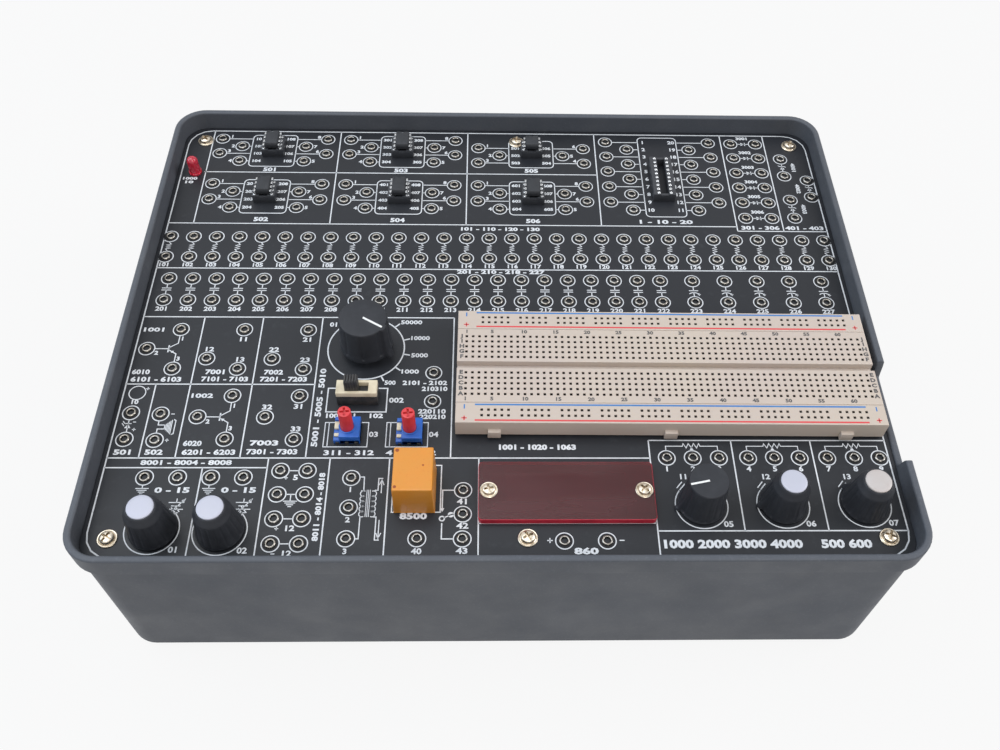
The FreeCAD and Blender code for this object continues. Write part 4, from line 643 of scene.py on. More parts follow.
def make_screws():
    screws = Piece()
    for shares in SCREWS:
        screws.add(cross_screw(3.6, 2.2, 1.5, 6), (*spot(shares), PANEL), draw.uniform(0, FULL))
    screws.make("panel_screw_heads", ["screw_nickel"], "screw_nickel", "panel_screws")
    screws = Piece()
    x, y = spot(WINDOW)
    for side in (-1, 1):
        screws.add(cross_screw(3.3, 1.8, 1.4, 8), (x + 28.6 * side, y, PANEL + 3.0), 0.5 + side * 0.3)
    screws.make("window_screw_heads", ["screw_nickel"], "screw_nickel", "window_screws")


def make_jacks():
    """The jacks' rounded collars, each with its bore and a flat ring round it in painted shade."""
    parts = [
        lathe([(1.9, -1.8), (1.9, 0.0), (2.1, 0.0), (2.1, 0.34), (2.04, 0.56), (1.9, 0.76), (1.7, 0.88),
               (1.52, 0.9), (1.36, 0.84), (1.24, 0.7), (1.16, 0.5)], 28, False, False),
        # The bore, in the near-black of painted shade.
        lathe([(1.16, 0.5), (1.1, 0.3), (1.04, -1.6), (0.05, -1.7)], 28, False),
        # A thin flat ring round the collar, dark as painted shade of the gap round the jack.
        skin([circle(radius, height, 28)
              for radius, height in ((2.0, 0.02), (2.95, 0.02), (2.95, 0.1), (2.0, 0.1))], close=True)]
    jacks = Piece()
    for x, y in jack_places():
        for slot, part in enumerate(parts):
            jacks.add(part, (x, y, PANEL), slot=slot)
    jacks.make("patch_jack_collars", ["jack_nickel", "jack_bore_painted_shade", "jack_gap_painted_shade"], "jack_nickel",
               "patch_jacks", angle=40)


# ---------------------------------------------------------------- printed layout

# Each title: its characters, start, end and height on the panel, then size and weight where they differ
TITLES = [
    ("1 - 10 - 20", 63.1, 87.3, 53.6, 2.3), ("101 - 110 - 120 - 130", -17.6, 17.7, 48.4, 2.0),
    ("201 - 210 - 218 - 227", -18.9, 19.1, 22.8, 2.0), ("301 - 306", 108.9, 126.3, 50.3),
    ("401 - 403", 128.9, 146.4, 50.3), ("1001", -146.2, -138.0, -9.6, 2.0, 0.1),
    ("1002", -121.2, -112.8, -42.4, 2.0, 0.1), ("6010", -146.6, -139.6, -31.0),
    ("6101 - 6103", -146.4, -126.6, -34.6), ("6020", -120.6, -113.6, -64.3),
    ("6201 - 6203", -120.4, -100.4, -68.2), ("7001", -117.8, -110.2, -30.9), ("7002", -94.6, -87.0, -31.0),
    ("7003", -95.6, -84.8, -64.1), ("7101 - 7103", -118.8, -100.4, -34.4),
    ("7201 - 7203", -95.8, -77.2, -34.4),
    ("7301 - 7303", -96.4, -77.2, -68.0), ("501", -145.8, -139.4, -68.2), ("502", -134.2, -127.4, -68.2),
    ("8001 - 8004 - 8008", -134.8, -101.0, -72.7, 2.0, 0.11), ("0 - 15", -127.4, -114.6, -84.4),
    ("0 - 15", -103.2, -90.4, -84.4), ("002", -44.2, -38.4, -44.4, 2.3, 0.1),
    ("1001011", -68.0, -56.8, -51.7, 2.0, 0.11), ("102", -51.2, -46.0, -51.7, 2.0, 0.11),
    ("311 - 312", -67.4, -48.4, -68.4, 2.1, 0.1), ("411 - 412", -44.0, -25.0, -68.4, 2.1, 0.1),
    ("2101 - 2102", -39.3, -21.6, -36.0, 2.0, 0.11), ("210310", -31.6, -21.4, -38.9, 2.0, 0.11),
    ("220110", -32.6, -21.8, -49.6, 2.0, 0.11), ("220210", -32.0, -21.8, -52.1, 2.0, 0.11),
    ("8500", -37.4, -27.4, -95.2, 2.4, 0.15), ("1001 - 1020 - 1063", -1.2, 28.2, -65.9, 2.2, 0.16),
    ("860", 25.4, 34.2, -109.2, 2.4, 0.15), ("1000 2000 3000 4000", 57.8, 108.0, -106.6, 3.2, 0.2),
    ("500 600", 114.7, 133.2, -106.6, 3.2, 0.2), ("1000", -146.3, -139.7, 79.4, 1.6, 0.1),
    ("10", -144.9, -141.1, 77.0, 1.6, 0.1),
]


def outline(ink):
    """The border round the panel, the lines between its fields and a ring round every jack."""
    left, right, top, low = -OUTLINE_X, OUTLINE_X, 112.3, -111.5
    block_low, diode_low, bank_low, field_low, knob_low = 51.0, 48.3, -2.7, -70.6, -101.2
    ink.frame(left, right, low, top, 10.0, 0.55)
    for x, start, end in (
            (-136.6, top, block_low), (-76.3, top, block_low), (-15.4, top, block_low),
            (45.6, top, block_low),
            (107.0, top, diode_low), (128.0, top, diode_low), (-122.5, bank_low, field_low),
            (-98.4, bank_low, field_low), (-73.9, bank_low, field_low), (-136.0, -36.8, field_low),
            (-19.5, bank_low, field_low), (-87.6, field_low, low), (-64.6, field_low, low),
            (-42.3, field_low, low), (-8.8, field_low, low), (-111.5, -74.8, low), (56.1, -62.7, low),
            (87.9, -62.7, knob_low), (118.6, -62.7, knob_low)):
        ink.upright(x, start, end, 0.5)
    for start, end, y in (
            (-136.6, 45.6, 84.0), (left, 107.0, block_low), (107.0, right, diode_low), (left, right, 24.3),
            (left, -19.5, bank_low), (left, -73.9, -36.8), (left, 56.1, field_low), (left, -87.6, -74.8),
            (56.1, right, -62.7), (56.1, right, knob_low), (-8.8, 56.1, -98.0)):
        ink.level(start, end, y, 0.5)
    for x, y in jack_places():
        ring = [(max(left, min(right, x + a)), y + b) for a, b, _ in circle(RING, 0, 30)]
        ink.line(ring, 0.5, close=True)


def chip_blocks(ink):
    for number, ((x, y), rows, pins) in enumerate(block_places(), start=1):
        high, low = (10.3, -11.2) if pins == 4 else (10.4, -8.2)
        ink.frame(x - 10.5, x + 10.5, y + low, y + high, 2.0, 0.45)
        for row, (rise, reach) in enumerate(rows):
            row_y, jack = y + rise * GRID, reach * GRID
            beside, lift = (jack - 4.3, 1.6) if reach > 2 else (jack + 4.4, 0.0)
            for side, pin in ((-1, row + 1), (1, pins * 2 - row)):
                ink.level(x + side * 10.5, x + side * (jack - LEAD), row_y)
                ink.text(pin, x + side * beside, row_y + lift)
                ink.text(number * 100 + pin, x + side * 7.3, row_y, 1.7, 0.1, 1.2)
        ink.text(500 + number, x, y + low - (2.2 if y > 80 else 3.9), 2.4, 0.14, 1.3)
    x = LONG_BLOCK[0] * GRID
    ink.frame(x - 9.3, x + 9.3, 56.9, 110.2, 2.0, 0.45)
    for row in range(LONG_ROWS):
        row_y, jack = long_row(row)
        for side, pin in ((-1, row + 1), (1, LONG_ROWS * 2 - row)):
            ink.level(x + side * 9.3, x + side * (jack - LEAD), row_y)
            ink.text(pin, x + side * 6.9, row_y, 2.1)


def banks(ink):
    """The rows of resistors, capacitors, diodes and voltage references."""
    top, low = (row * GRID for row in RESISTOR_ROWS)
    lead, turns = 0.16, 6
    for number, column in enumerate(RESISTORS, start=101):
        x, start, span = column * GRID, low + LEAD, top - low - LEAD * 2
        bends = [(x + (0.95 if turn % 2 else -0.95),
                  start + span * (lead + (1 - lead * 2) * (turn + 0.5) / turns)) for turn in range(turns)]
        ink.line([(x, start), *bends, (x, start + span)], 0.34)
        ink.text(number, x, low - 4.6, 2.1)
    top, low = (row * GRID for row in CAPACITOR_ROWS)
    middle = (top + low) / 2
    for number, column in enumerate(CAPACITORS + LARGE_CAPACITORS, start=201):
        x = column * GRID
        ink.upright(x, top - LEAD, middle + 0.5, 0.4)
        ink.upright(x, middle - 0.5, low + LEAD, 0.4)
        ink.level(x - 2, x + 2, middle + 0.55)
        if column in CAPACITORS:
            ink.level(x - 2, x + 2, middle - 0.55)
        else:
            ink.arc(x, middle - 3.6, 3.1, 50, 130, 0.4)
            ink.plus(x + 2.2, middle - 1.6, 0.6)
        ink.text(number, x, low - 4.9, 2.2)
    start, end = (column * GRID for column in DIODE_COLUMNS)
    middle = (start + end) / 2
    for number, y in enumerate((row * GRID for row in DIODE_ROWS), start=3001):
        ink.level(start + 3.5, end - 3.5, y, 0.36)
        ink.fill((middle - 1.1, y + 1.1), (middle - 1.1, y - 1.1), (middle + 0.7, y))
        ink.upright(middle + 0.9, y - 1.1, y + 1.1, 0.4)
        ink.text(number, middle, y + 3.9)
    for number, ends in enumerate(ZENERS, start=4001):
        (x, top), (_, low) = map(spot, ends)
        middle = (top + low) / 2
        ink.upright(x, top - 3.5, low + 3.5, 0.36)
        ink.fill((x - 1.1, middle - 1.1), (x + 1.1, middle - 1.1), (x, middle + 0.7))
        ink.line([(x - 1.7, middle + 1.5), (x - 1.2, middle + 0.9), (x + 1.2, middle + 0.9),
                  (x + 1.7, middle + 0.3)], 0.36)
        ink.text(number, x + (5.2 if x < 140 else -5.4), middle, turn=-90)


def transistor(ink, jacks, outward):
    (top_x, top_y), (base_x, base_y), (low_x, low_y) = map(spot, jacks)
    bar = top_x - 3.3
    ink.level(base_x + LEAD, bar, base_y, 0.4)
    ink.upright(bar, base_y - 1.8, base_y + 1.8, 0.55)
    ink.line([(bar, base_y + 0.5), (top_x + 0.1, base_y + 2.8), (top_x + 0.1, top_y - LEAD)], 0.4)
    ink.line([(bar, base_y - 0.5), (low_x + 0.1, base_y - 2.6), (low_x + 0.1, low_y + LEAD)], 0.4)
    x, y, way = (bar + 2.6, base_y - 2.1, 1) if outward else (bar + 0.5, base_y - 0.8, -1)
    ink.fill((x, y), (x - 1.4 * way, y + 0.1 * way), (x - 0.6 * way, y + 1.2 * way))
    ink.text(1, top_x + 1.4, top_y - 4.8)
    ink.text(2, base_x + 4.2, base_y - 2.2)
    ink.text(3, low_x + 1.4, low_y + 4.8)


def lamp_mark(ink):
    """The socket for a lamp: its outline, a diode's mark with light's arrows, and its two jacks' signs."""
    (x, top), (_, low) = map(spot, LED_JACKS)
    middle = (top + low) / 2
    ink.arc(x + 0.5, top + 9.4, 3.2, width=0.4)
    ink.plus(x + 4.2, top + 11.4, 0.7)
    ink.text(10, x + 0.2, top + 5.0, 2.0)
    ink.upright(x, top - LEAD, low + LEAD, 0.36)
    ink.fill((x - 1.2, middle - 1.0), (x + 1.2, middle - 1.0), (x, middle + 0.9))
    ink.level(x - 1.2, x + 1.2, middle + 1.1, 0.36)
    ink.lines([(x - 1.4, middle), (x - 2.4, middle + 1.2)],
              [(x - 1.2, middle + 1.0), (x - 2.2, middle + 2.2)], width=0.3)
    ink.plus(x + 2.6, low + 4.4, 0.7)
    ink.level(x + 1.6, x + 2.8, top - 4.2, 0.34)


def speaker_mark(ink):
    (x, top), (_, low) = map(spot, SPEAKER_JACKS)
    middle = (top + low) / 2
    for side, jack in ((1, top), (-1, low)):
        ink.line([(x, jack - LEAD * side), (x, middle + 0.9 * side), (x + 2.4, middle + 0.9 * side)], 0.4)
    for step in range(6):
        reach = 1.0 + step * 0.45
        ink.upright(x + 2.6 + step * 0.5, middle - reach, middle + reach, 0.3)
    ink.line([(x + 5.6, middle - 3.4), (x + 6.4, middle - 3.0), (x + 6.4, middle + 3.0),
              (x + 5.6, middle + 3.4)], 0.36)
    ink.plus(x + 4.6, low, 0.7)
    ink.level(x + 4.0, x + 5.4, top, 0.36)


def ground(ink, x, y, width=2.4):
    for step in range(4):
        reach = width * (1 - step / 4)
        ink.level(x - reach, x + reach, y - step * 0.75, 0.34)


def battery(ink, x, y):
    for step, reach in enumerate((2.8, 1.7, 2.8, 1.2)):
        ink.level(x - reach, x + reach, y + 1.8 - step * 1.4, 0.34)
    ink.lines([(x, y + 1.8), (x, y + 3.4)], [(x, y - 2.4), (x, y - 3.6)],
              [(x - 2.4, y - 3.2), (x + 2.8, y + 3.0)], width=0.34)
    ink.fill((x + 3.2, y + 3.5), (x + 1.7, y + 2.6), (x + 2.6, y + 1.8))


def supply_marks(ink):
    for x, y in map(spot, VARIABLE_JACKS[::2]):
        ink.upright(x, y - LEAD, y - 4.6, 0.36)
        ground(ink, x, y - 4.6)
        battery(ink, x + 13.6, y - 12.2)
    left, right = (column * GRID for column in FIXED_COLUMNS)
    middle = (left + right) / 2
    for value, row in zip((5, 0, 12, -12), FIXED_ROWS):
        y = row * GRID
        ink.level(left + 3.5, right - 3.5, y, 0.4)
        if not value:
            ink.upright(middle, y, y - 2.6, 0.36)
            ground(ink, middle, y - 2.8, 2.6)
            continue
        x, drop = (middle - 2.6, y - 3.0) if value == 5 else (middle - 3.6, y - 3.9)
        ink.text(abs(value), middle + 0.9, drop, 2.2, stretch=1.3)
        if value > 0:
            ink.plus(x, drop, 0.7)
        else:
            ink.level(x - 0.8, x + 0.6, drop, 0.34)


def generator_field(ink):
    x, y = -54.9, -18.75
    ink.arc(x, y, 15.45, width=0.55)
    for label, angle, wide in ((50000, 44.7, 8.8), (10000, 15.8, 7.6), (5000, -10.8, 6.8), (1000, -37.6, 7.0),
                               (500, -63.6, 4.4)):
        across, up = math.cos(math.radians(angle)), math.sin(math.radians(angle))
        ink.line([(x + across * reach, y + up * reach) for reach in (15.6, 18.2)], 0.6)
        start = (x + across * 18.4 + 0.3, y + up * 19.2)
        ink.title(str(label), start, (start[0] + wide, start[1]), 2.0, 0.09)
    ink.text("01", -69.0, -6.6, 2.2)
    ink.frame(-68.3, -45.0, -49.8, -38.6, 0, 0.5)
    for label, left, right in (("03", -67.9, -51.3), ("04", -44.3, -28.4)):
        ink.frame(left, right, -65.7, -54.7, 0, 0.36)
        ink.upright(left + 1.5, -54.7, -65.7, 0.36)
        ink.text(label, right + 2.2, -60.2, 2.3)


def coil_marks(ink):
    (left, top), (_, middle), (_, low) = map(spot, WINDING_JACKS)
    x, start = left + 5.0, left + LEAD
    ink.line([(start, top + 0.4), (x - 0.2, top + 0.4), (x, -84.6), (x - 1, -84.6)], 0.4)
    ink.line([(start, low), (x - 0.6, low), (x - 0.6, -95.2)], 0.4)
    ink.level(start, x - 1.6, middle, 0.4)
    for step in range(5):
        ink.arc(x, -85.8 - step * 2.1, 1.15, 60, 300, 0.36)
        ink.arc(x + 3.6, -85.8 - step * 2.1, 1.15, -120, 120, 0.36)
    for shift in (1.2, 1.8, 2.4):
        ink.upright(x + shift, -84.2, -95.4, 0.26)
    side, arrow = x + 5.2, x + 6.4
    for near, far in ((-84.4, -79.4), (-95.4, -104.6)):
        ink.line([(x + 4, near), (side, near), (side, far), (side + 1.6, far)], 0.4)
    for near, far, tip, barb in ((-85.6, -80.2, -80.0, -82.2), (-96.6, -103.8, -104.0, -101.8)):
        ink.upright(arrow, far, near, 0.36)
        ink.line([(arrow - 0.9, barb), (arrow, tip), (arrow + 0.9, barb)], 0.36)
    ink.count(1, WINDING_JACKS, 5.0, 2.1)


def relay_field(ink):
    """The relay's frame and its switch: a bus from the outer contacts to an arm at the middle one."""
    ink.frame(-40.4, -22.7, -93.5, -73.8, 0, 0.45)
    (left, top), (_, middle), (_, low) = map(spot, RELAY_JACKS)
    bus, arm, end = -22.0, (-18.8, middle - 0.2), left - LEAD
    ink.line([(end, top), (bus, top), (bus, middle + 1.2)], 0.45)
    ink.line([(end, low), (bus, low), (bus, middle - 3.6)], 0.45)
    ink.arc(bus, middle - 1.8, 0.9, width=0.5)
    ink.fill(*[(arm[0] + a, arm[1] + b) for a, b, _ in circle(1.1, 0, 16)])
    ink.fill((bus, middle + 0.9), (bus - 0.8, middle + 2.4), (bus + 0.8, middle + 2.4))
    ink.lines([(bus + 0.7, middle - 1.5), arm], [arm, (end, middle)], width=0.45)
    ink.count(41, RELAY_JACKS, 4.8, 2.3, 1.35)
    ink.count(40, [RELAY_IN], 5.0, 2.3)
    (left, y), (right, _) = map(spot, METER_JACKS)
    ink.plus(left - 5.2, y + 0.2, 1.0, 0.4)
    ink.level(right + 4.4, right + 6.2, y + 0.2, 0.4)


def track_fields(ink):
    """The three variable resistors' marks and the scale round every control knob."""
    y = TRACK_ROW * GRID
    top = y + 5.2
    for field in range(3):
        jacks = [(column, TRACK_ROW) for column in TRACK_JACKS[field * 3:field * 3 + 3]]
        left, middle, right = (spot(shares)[0] for shares in jacks)
        waves = [(middle - 3.0 + step, top + (-0.8 if step % 2 else 1.2)) for step in range(7)]
        ink.line([(left, y + 3.5), (left, top), (middle - LEAD, top), *waves, (middle + LEAD, top),
                  (right, top), (right, y + 3.5)], 0.34)
        ink.fill((middle, top - 0.3), (middle - 0.7, top - 1.7), (middle + 0.7, top - 1.7))
        ink.count(field * 3 + 1, jacks, 4.9, 2.2, shift=-0.4)
        ink.text(11 + field, middle - 4.6, y - 8.3, 2.2)
    for label, x, y, mark in (
            ("01", -125.2, -100.3, 40), ("02", -101.1, -100.7, 40), ("05", 73.3, -90.6, 140),
            ("06", 103.6, -90.5, 140), ("07", 134.1, -90.2, 140)):
        ink.arc(x, y, 9.7, 142, 400)
        way = Vector((math.cos(math.radians(mark)), math.sin(math.radians(mark))))
        across = Vector((-way.y, way.x)) * (3.4 if mark < 90 else -3.4)
        for reach in (9.7, 11.0):
            start = Vector((x, y)) + way * reach
            ink.line([tuple(start), tuple(start + across)], 0.4)
        ink.text(label, x + 9.0, y - 8.0, 2.3)


def make_print():
    ink = Print()
    outline(ink)
    for text, start, end, y, *style in TITLES:
        ink.title(text, (start, y), (end, y), *style)
    ink.title("5001 - 5005 - 5010", (-71.2, -65.6), (-71.0, -29.0), 2.3)
    ink.title("8011 - 8014 - 8018", (-66.9, -105.0), (-66.7, -77.0), 2.1)
    chip_blocks(ink)
    banks(ink)
    transistor(ink, NPN, True)
    transistor(ink, PNP, False)
    for number, jacks in enumerate(REGULATORS, start=1):
        for pin, (shares, lift) in enumerate(zip(jacks, (-5.0, 4.6, 4.6)), start=1):
            x, y = spot(shares)
            ink.text(number * 10 + pin, x + 0.2, y + lift, 2.2, stretch=1.35)
    for field in (lamp_mark, speaker_mark, supply_marks, generator_field, coil_marks, relay_field,
                  track_fields):
        field(ink)
    x, y = spot(LAMP)
    ink.plus(x + 4.6, y + 0.4, 0.6)
    ink.print_on("panel_print", PANEL, "panel_ink", "panel_print")


# ---------------------------------------------------------------- sockets, chips, breadboard

SOCKET_HEIGHT = 4.3
BOARD_LENGTH = 164.8
BOARD_TOP = 8.5


def pin_places(pins):
    return [PITCH * (pin - (pins - 1) / 2) for pin in range(pins)]


def make_sockets():
    """Sockets of two rails and two end bars, each with contacts and, but for the long one, a chip."""
    sockets, chips = Piece(), Piece()
    contact = lathe([(0.3, -0.6), (0.66, -0.5), (0.7, 0.06), (0.52, 0.18), (0.3, 0.1)], 12)
    places = [(x + SOCKET_SHIFT[0], y + (SOCKET_SHIFT[1] if pins == 4 else COUPLER_SHIFT), pins, 3.81)
              for (x, y), _, pins in block_places()]
    for x, y, pins, reach in [*places, (*spot(LONG_SOCKET), LONG_ROWS, 2.8)]:
        length = pins * PITCH
        for side in (-1, 1):
            sockets.add(block(3.3, length, SOCKET_HEIGHT, 0.18), (x + side * 3.45, y, PANEL))
            end = side * (length / 2 - 0.66)
            sockets.add(block(9.4, 1.3, SOCKET_HEIGHT - 0.5, 0.12), (x, y + end, PANEL))
        for along in pin_places(pins):
            for side in (-1, 1):
                sockets.add(contact, (x + side * reach, y + along, PANEL + SOCKET_HEIGHT), slot=1)
        if pins < LONG_ROWS:
            add_chip(chips, x, y, pins)
    sockets.make("sockets", ["socket_black", "pin_tin"], "socket_black", "chip_sockets")
    chips.make("chip_packages", ["chip_black", "pin_tin"], "chip_black", "chips")


def add_chip(chips, x, y, pins):
    """A moulded package, waisted at its leg line, with a notch, a dot and bent legs."""
    length, width, foot, height = pins * PITCH - 0.8, 6.4, 0.5, 3.1
    base = PANEL + SOCKET_HEIGHT
    loops = [rounded(width - inset * 2, length - inset * 2, 0.25, foot + rise, 2) for inset, rise in (
        (0.42, 0.0), (0.34, 0.06), (0.02, 1.5), (0.02, 1.75), (0.36, 3.0), (0.48, height))]
    notch = shifted(lathe([(0.8, 0.0), (0.8, 2.0)], 24), 0, length / 2 - 0.3, foot + height - 0.7)
    dot = shifted(lathe([(0.5, 0.0), (0.55, 1.0)], 16), -1.9, length / 2 - 1.6, foot + height - 0.15)
    chips.add(carved(skin(loops), notch, dot), (x, y, base))
    shoulder, leg = block(1.2, 1.3, 0.28, 0.08, foot + 1.5), block(0.28, 1.1, foot + 1.78, 0.08)
    for along in pin_places(pins):
        for side in (-1, 1):
            chips.add(shoulder, (x + side * 3.4, y + along, base), slot=1)
            chips.add(leg, (x + side * 3.86, y + along, base), slot=1)


def rectangle(x, y, height, middle=0.0):
    """A loop through the corners at x and y from its middle, which lies on the Y axis."""
    return [(x, middle + y, height), (-x, middle + y, height),
            (-x, middle - y, height), (x, middle - y, height)]


def hole_cell():
    """One cell of a perforated face at level zero: the face round the hole with its lead-in, and its well."""
    half, narrow, wide = PITCH / 2, 0.49, 0.59
    lead_in, depth = -0.14, -3.2
    face = skin([rectangle(half, half, 0), rectangle(wide, wide, 0), rectangle(narrow, narrow, lead_in)],
                False, False)
    return face, skin([rectangle(narrow, narrow, lead_in), rectangle(narrow, narrow, depth)], False)


def panel_rest(outer, holes):
    """Level quads that fill a rectangle around a list of rectangles, none overlapping."""
    xs = sorted({outer[0], outer[1], *[v for h in holes for v in h[:2]]})
    ys = sorted({outer[2], outer[3], *[v for h in holes for v in h[2:]]})
    corners = [(x, y, 0.0) for y in ys for x in xs]
    faces = []
    for row in range(len(ys) - 1):
        for column in range(len(xs) - 1):
            middle = ((xs[column] + xs[column + 1]) / 2, (ys[row] + ys[row + 1]) / 2)
            if any(h[0] < middle[0] < h[1] and h[2] < middle[1] < h[3] for h in holes):
                continue
            start = row * len(xs) + column
            faces.append([start, start + 1, start + 1 + len(xs), start + len(xs)])
    return corners, faces


def perforated(piece, low, high, fields):
    """A moulded bar from low to high, with perforated fields, each given as columns' and rows' places."""
    ease, half = 0.35, PITCH / 2
    holes = []
    for xs, ys in fields:
        holes.append((xs[0] - half, xs[-1] + half, ys[0] - half, ys[-1] + half))
        for x in xs:
            for y in ys:
                # The wells take the piece's second colour, painted shade inside the holes.
                for slot, part in enumerate(hole_cell()):
                    piece.add(part, (x, y, BOARD_TOP), slot=slot)
    reach = BOARD_LENGTH / 2
    rest = panel_rest((ease - reach, reach - ease, low + ease, high - ease), holes)
    piece.add(rest, (0, 0, BOARD_TOP))
    loops = [rectangle(reach - inset, (high - low) / 2 - inset, rise, (low + high) / 2) for inset, rise in (
        (0.3, 0.0), (0.0, 0.3), (0.0, BOARD_TOP - 0.35), (0.1, BOARD_TOP - 0.1), (ease, BOARD_TOP))]
    piece.add(skin(loops, True, False))


def make_breadboard():
    columns = [PITCH * (place - 31) for place in range(63)]
    rows = sorted(side * (3.81 + PITCH * place) for side in (-1, 1) for place in range(5))
    groups = [[PITCH * (6 * group + place - 28.5) for place in range(5)] for group in range(10)]
    strip, rear, front = Piece(), Piece(), Piece()
    perforated(strip, -17.8, -1.5, [(columns, rows[:5])])
    perforated(strip, 1.5, 17.8, [(columns, rows[5:])])
    strip.add(block(BOARD_LENGTH - 0.4, 3.4, BOARD_TOP - 2.9, 0.1))
    marks = {"red": Print(), "blue": Print(), "print": Print()}
    for rail, middle in ((rear, 22.5), (front, -22.5)):
        pair = [middle - PITCH / 2, middle + PITCH / 2]
        perforated(rail, middle - 4.65, middle + 4.65, [(group, pair) for group in groups])
        marks["blue"].level(-75.0, 75.0, middle + 3.55, 0.7)
        marks["red"].level(-75.0, 75.0, middle - 3.55, 0.7)
        for end in (-79.0, 79.0):
            marks["red"].plus(end, middle - 2.6, 1.0, 0.5)
            marks["blue"].upright(end, middle + 1.6, middle + 3.6, 0.5)
    for share in (-0.41, 0.0, 0.41):
        front.add(block(5.0, 2.0, 4.0, 0.3), (BOARD_LENGTH * share, -27.75, 0))
    for number in (1, *range(5, 61, 5)):
        for y in (16.3, -16.3):
            marks["print"].text(number, columns[number - 1], y, 1.6)
    for y, letter in zip(rows, "ABCDEFGHIJ"):
        for end in (-80.6, 80.6):
            marks["print"].text(letter, end, y, 1.75, 0.12)
    rail_colours = ["board_white", "rail_holes_painted_shade"]
    things = [
        strip.make("breadboard_body", ["board_white", "board_holes_painted_shade"], "board_white", "breadboard_strip"),
        rear.make("breadboard_rear_rail", rail_colours, "board_white", "breadboard_bus_rear"),
        front.make("breadboard_front_rail", rail_colours, "board_white", "breadboard_bus_front")]
    for label, mark in marks.items():
        things.append(mark.print_on(f"breadboard_{label}_marks", BOARD_TOP, f"board_{label}", "board_white"))
    thickness = 0.9
    pad = Piece().add(block(BOARD_LENGTH - 1.6, 52.7, thickness, 0.1), (0, 0, -thickness))
    things.append(pad.make("breadboard_foam", ["board_white"], "foam_pad", "breadboard_pad"))
    turn = -0.006
    seat = Vector((*spot(BREADBOARD), PANEL + thickness)) * MM
    place = Matrix.Translation(seat) @ Matrix.Rotation(turn, 4, "Z")
    for thing in things:
        thing.data.transform(place)


# ---------------------------------------------------------------- lamp, relay, window


def stacked(length, width, rows):
    """A rounded body whose rows are each given as their inset, height and corner radius."""
    return skin([rounded(length - inset * 2, width - inset * 2, corner, height, 4)
                 for inset, height, corner in rows])


def make_lamp():
    radius, shoulder = 2.5, 6.5
    dome = [(0.3, 0.0), (2.95, 0.0), (2.95, 0.85), (2.82, 1.0), (radius, 1.02), (radius, shoulder)]
    for step in range(1, 9):
        angle = math.pi / 2 * step / 9
        dome.append((radius * math.cos(angle), shoulder + radius * math.sin(angle)))
    lamp = Piece().add(lathe([*dome, (0.1, 9.0)], 40), (*spot(LAMP), PANEL))
    lamp.make("power_lamp_lens", ["lamp_red"], "lamp_red", "power_lamp")


def make_relay():
    x, y = spot(RELAY)
    length, width, height = 15.0, 18.6, 16.0
    relay = Piece().add(stacked(length, width, (
        (0.1, 0.0, 0.5), (0.0, 0.4, 0.5), (0.32, height - 0.6, 0.5), (0.38, height - 0.3, 0.5),
        (0.5, height - 0.08, 0.45), (0.74, height, 0.4), (1.1, height, 0.3))), (x, y, PANEL))
    relay.add(block(length + 0.1, width + 0.1, 0.9, 0.2), (x, y, PANEL))
    # The dimples take the darker orange, painted shade in the recesses.
    for across, along, radius in ((-5.9, 7.6, 0.7), (-6.1, -7.4, 0.6), (3.6, 1.4, 0.4)):
        dimple = lathe([(radius, -0.02), (radius, 0.02), (radius * 0.9, 0.03), (0.05, 0.0)], 16)
        relay.add(dimple, (x + across, y + along, PANEL + height), slot=1)
    relay.make("relay_cover", ["relay_orange", "relay_dimple_painted_shade"], "relay_orange", "relay")


def make_window():
    length, width, depth, ease = 64.8, 24.2, 3.0, 0.15
    plate = Piece().add(stacked(length, width, (
        (ease, 0, 1.4), (0, ease, 1.5), (0, depth - ease, 1.5), (ease, depth, 1.4))),
        (*spot(WINDOW), PANEL + 0.05))
    # The side faces take the brighter red, painted light along the acrylic's edges.
    plate.slots = [0 if len(face) > 4 else 1 for face in plate.faces]
    plate.make("meter_window_plate", ["window_red", "window_edge_painted_light"], "window_red", "meter_window", flat=True)


# ---------------------------------------------------------------- switches, trimmers


def make_slide_switch():
    x, y = spot(SLIDE)
    length, width, height = 15.8, 6.5, 5.8
    housing = Piece().add(block(length, width, height, 0.15), (x, y, PANEL))
    for side in (-1, 1):
        housing.add(block(1.6, 6.9, 1.6, 0.15), (x + side * 6.4, y, PANEL + 4.1))
    housing.make("slide_housing", ["switch_black"], "switch_black", "slide_switch_housing")
    loops = [rounded(length - inset * 2, width - inset * 2, 0.3, rise, 3)
             for inset, rise in ((0.0, 0.0), (0.0, 2.0), (0.12, 2.2))]
    loops += [rounded(9.0 + grow * 2, 3.9 + grow * 2, 0.25, rise, 3)
              for grow, rise in ((0.1, 2.2), (0.0, 2.0), (0.0, 0.0))]
    plate = Piece().add(skin(loops, close=True), (x, y, PANEL + height))
    plate.make("slide_plate", ["switch_cream"], "switch_cream", "slide_switch_plate")
    low, high = (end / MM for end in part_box("slide_switch_slider"))
    size, middle = high - low, (high + low) / 2
    slider = Piece().add(block(size.x, size.y, size.z - 0.8, 0.15), (middle.x, middle.y, low.z))
    ribs = ((block(0.62, size.y - 0.1, 1.4, 0.25), 1.4), (block(0.5, size.y + 0.35, 4.4, 0.2), 5.2))
    for rib, drop in ribs:
        for place in range(-2, 3):
            slider.add(rib, (middle.x + size.x * place / 5, middle.y, high.z - drop))
    slider.make("slide_slider", ["switch_black"], "switch_black", "slide_switch_slider", "slide_switch")


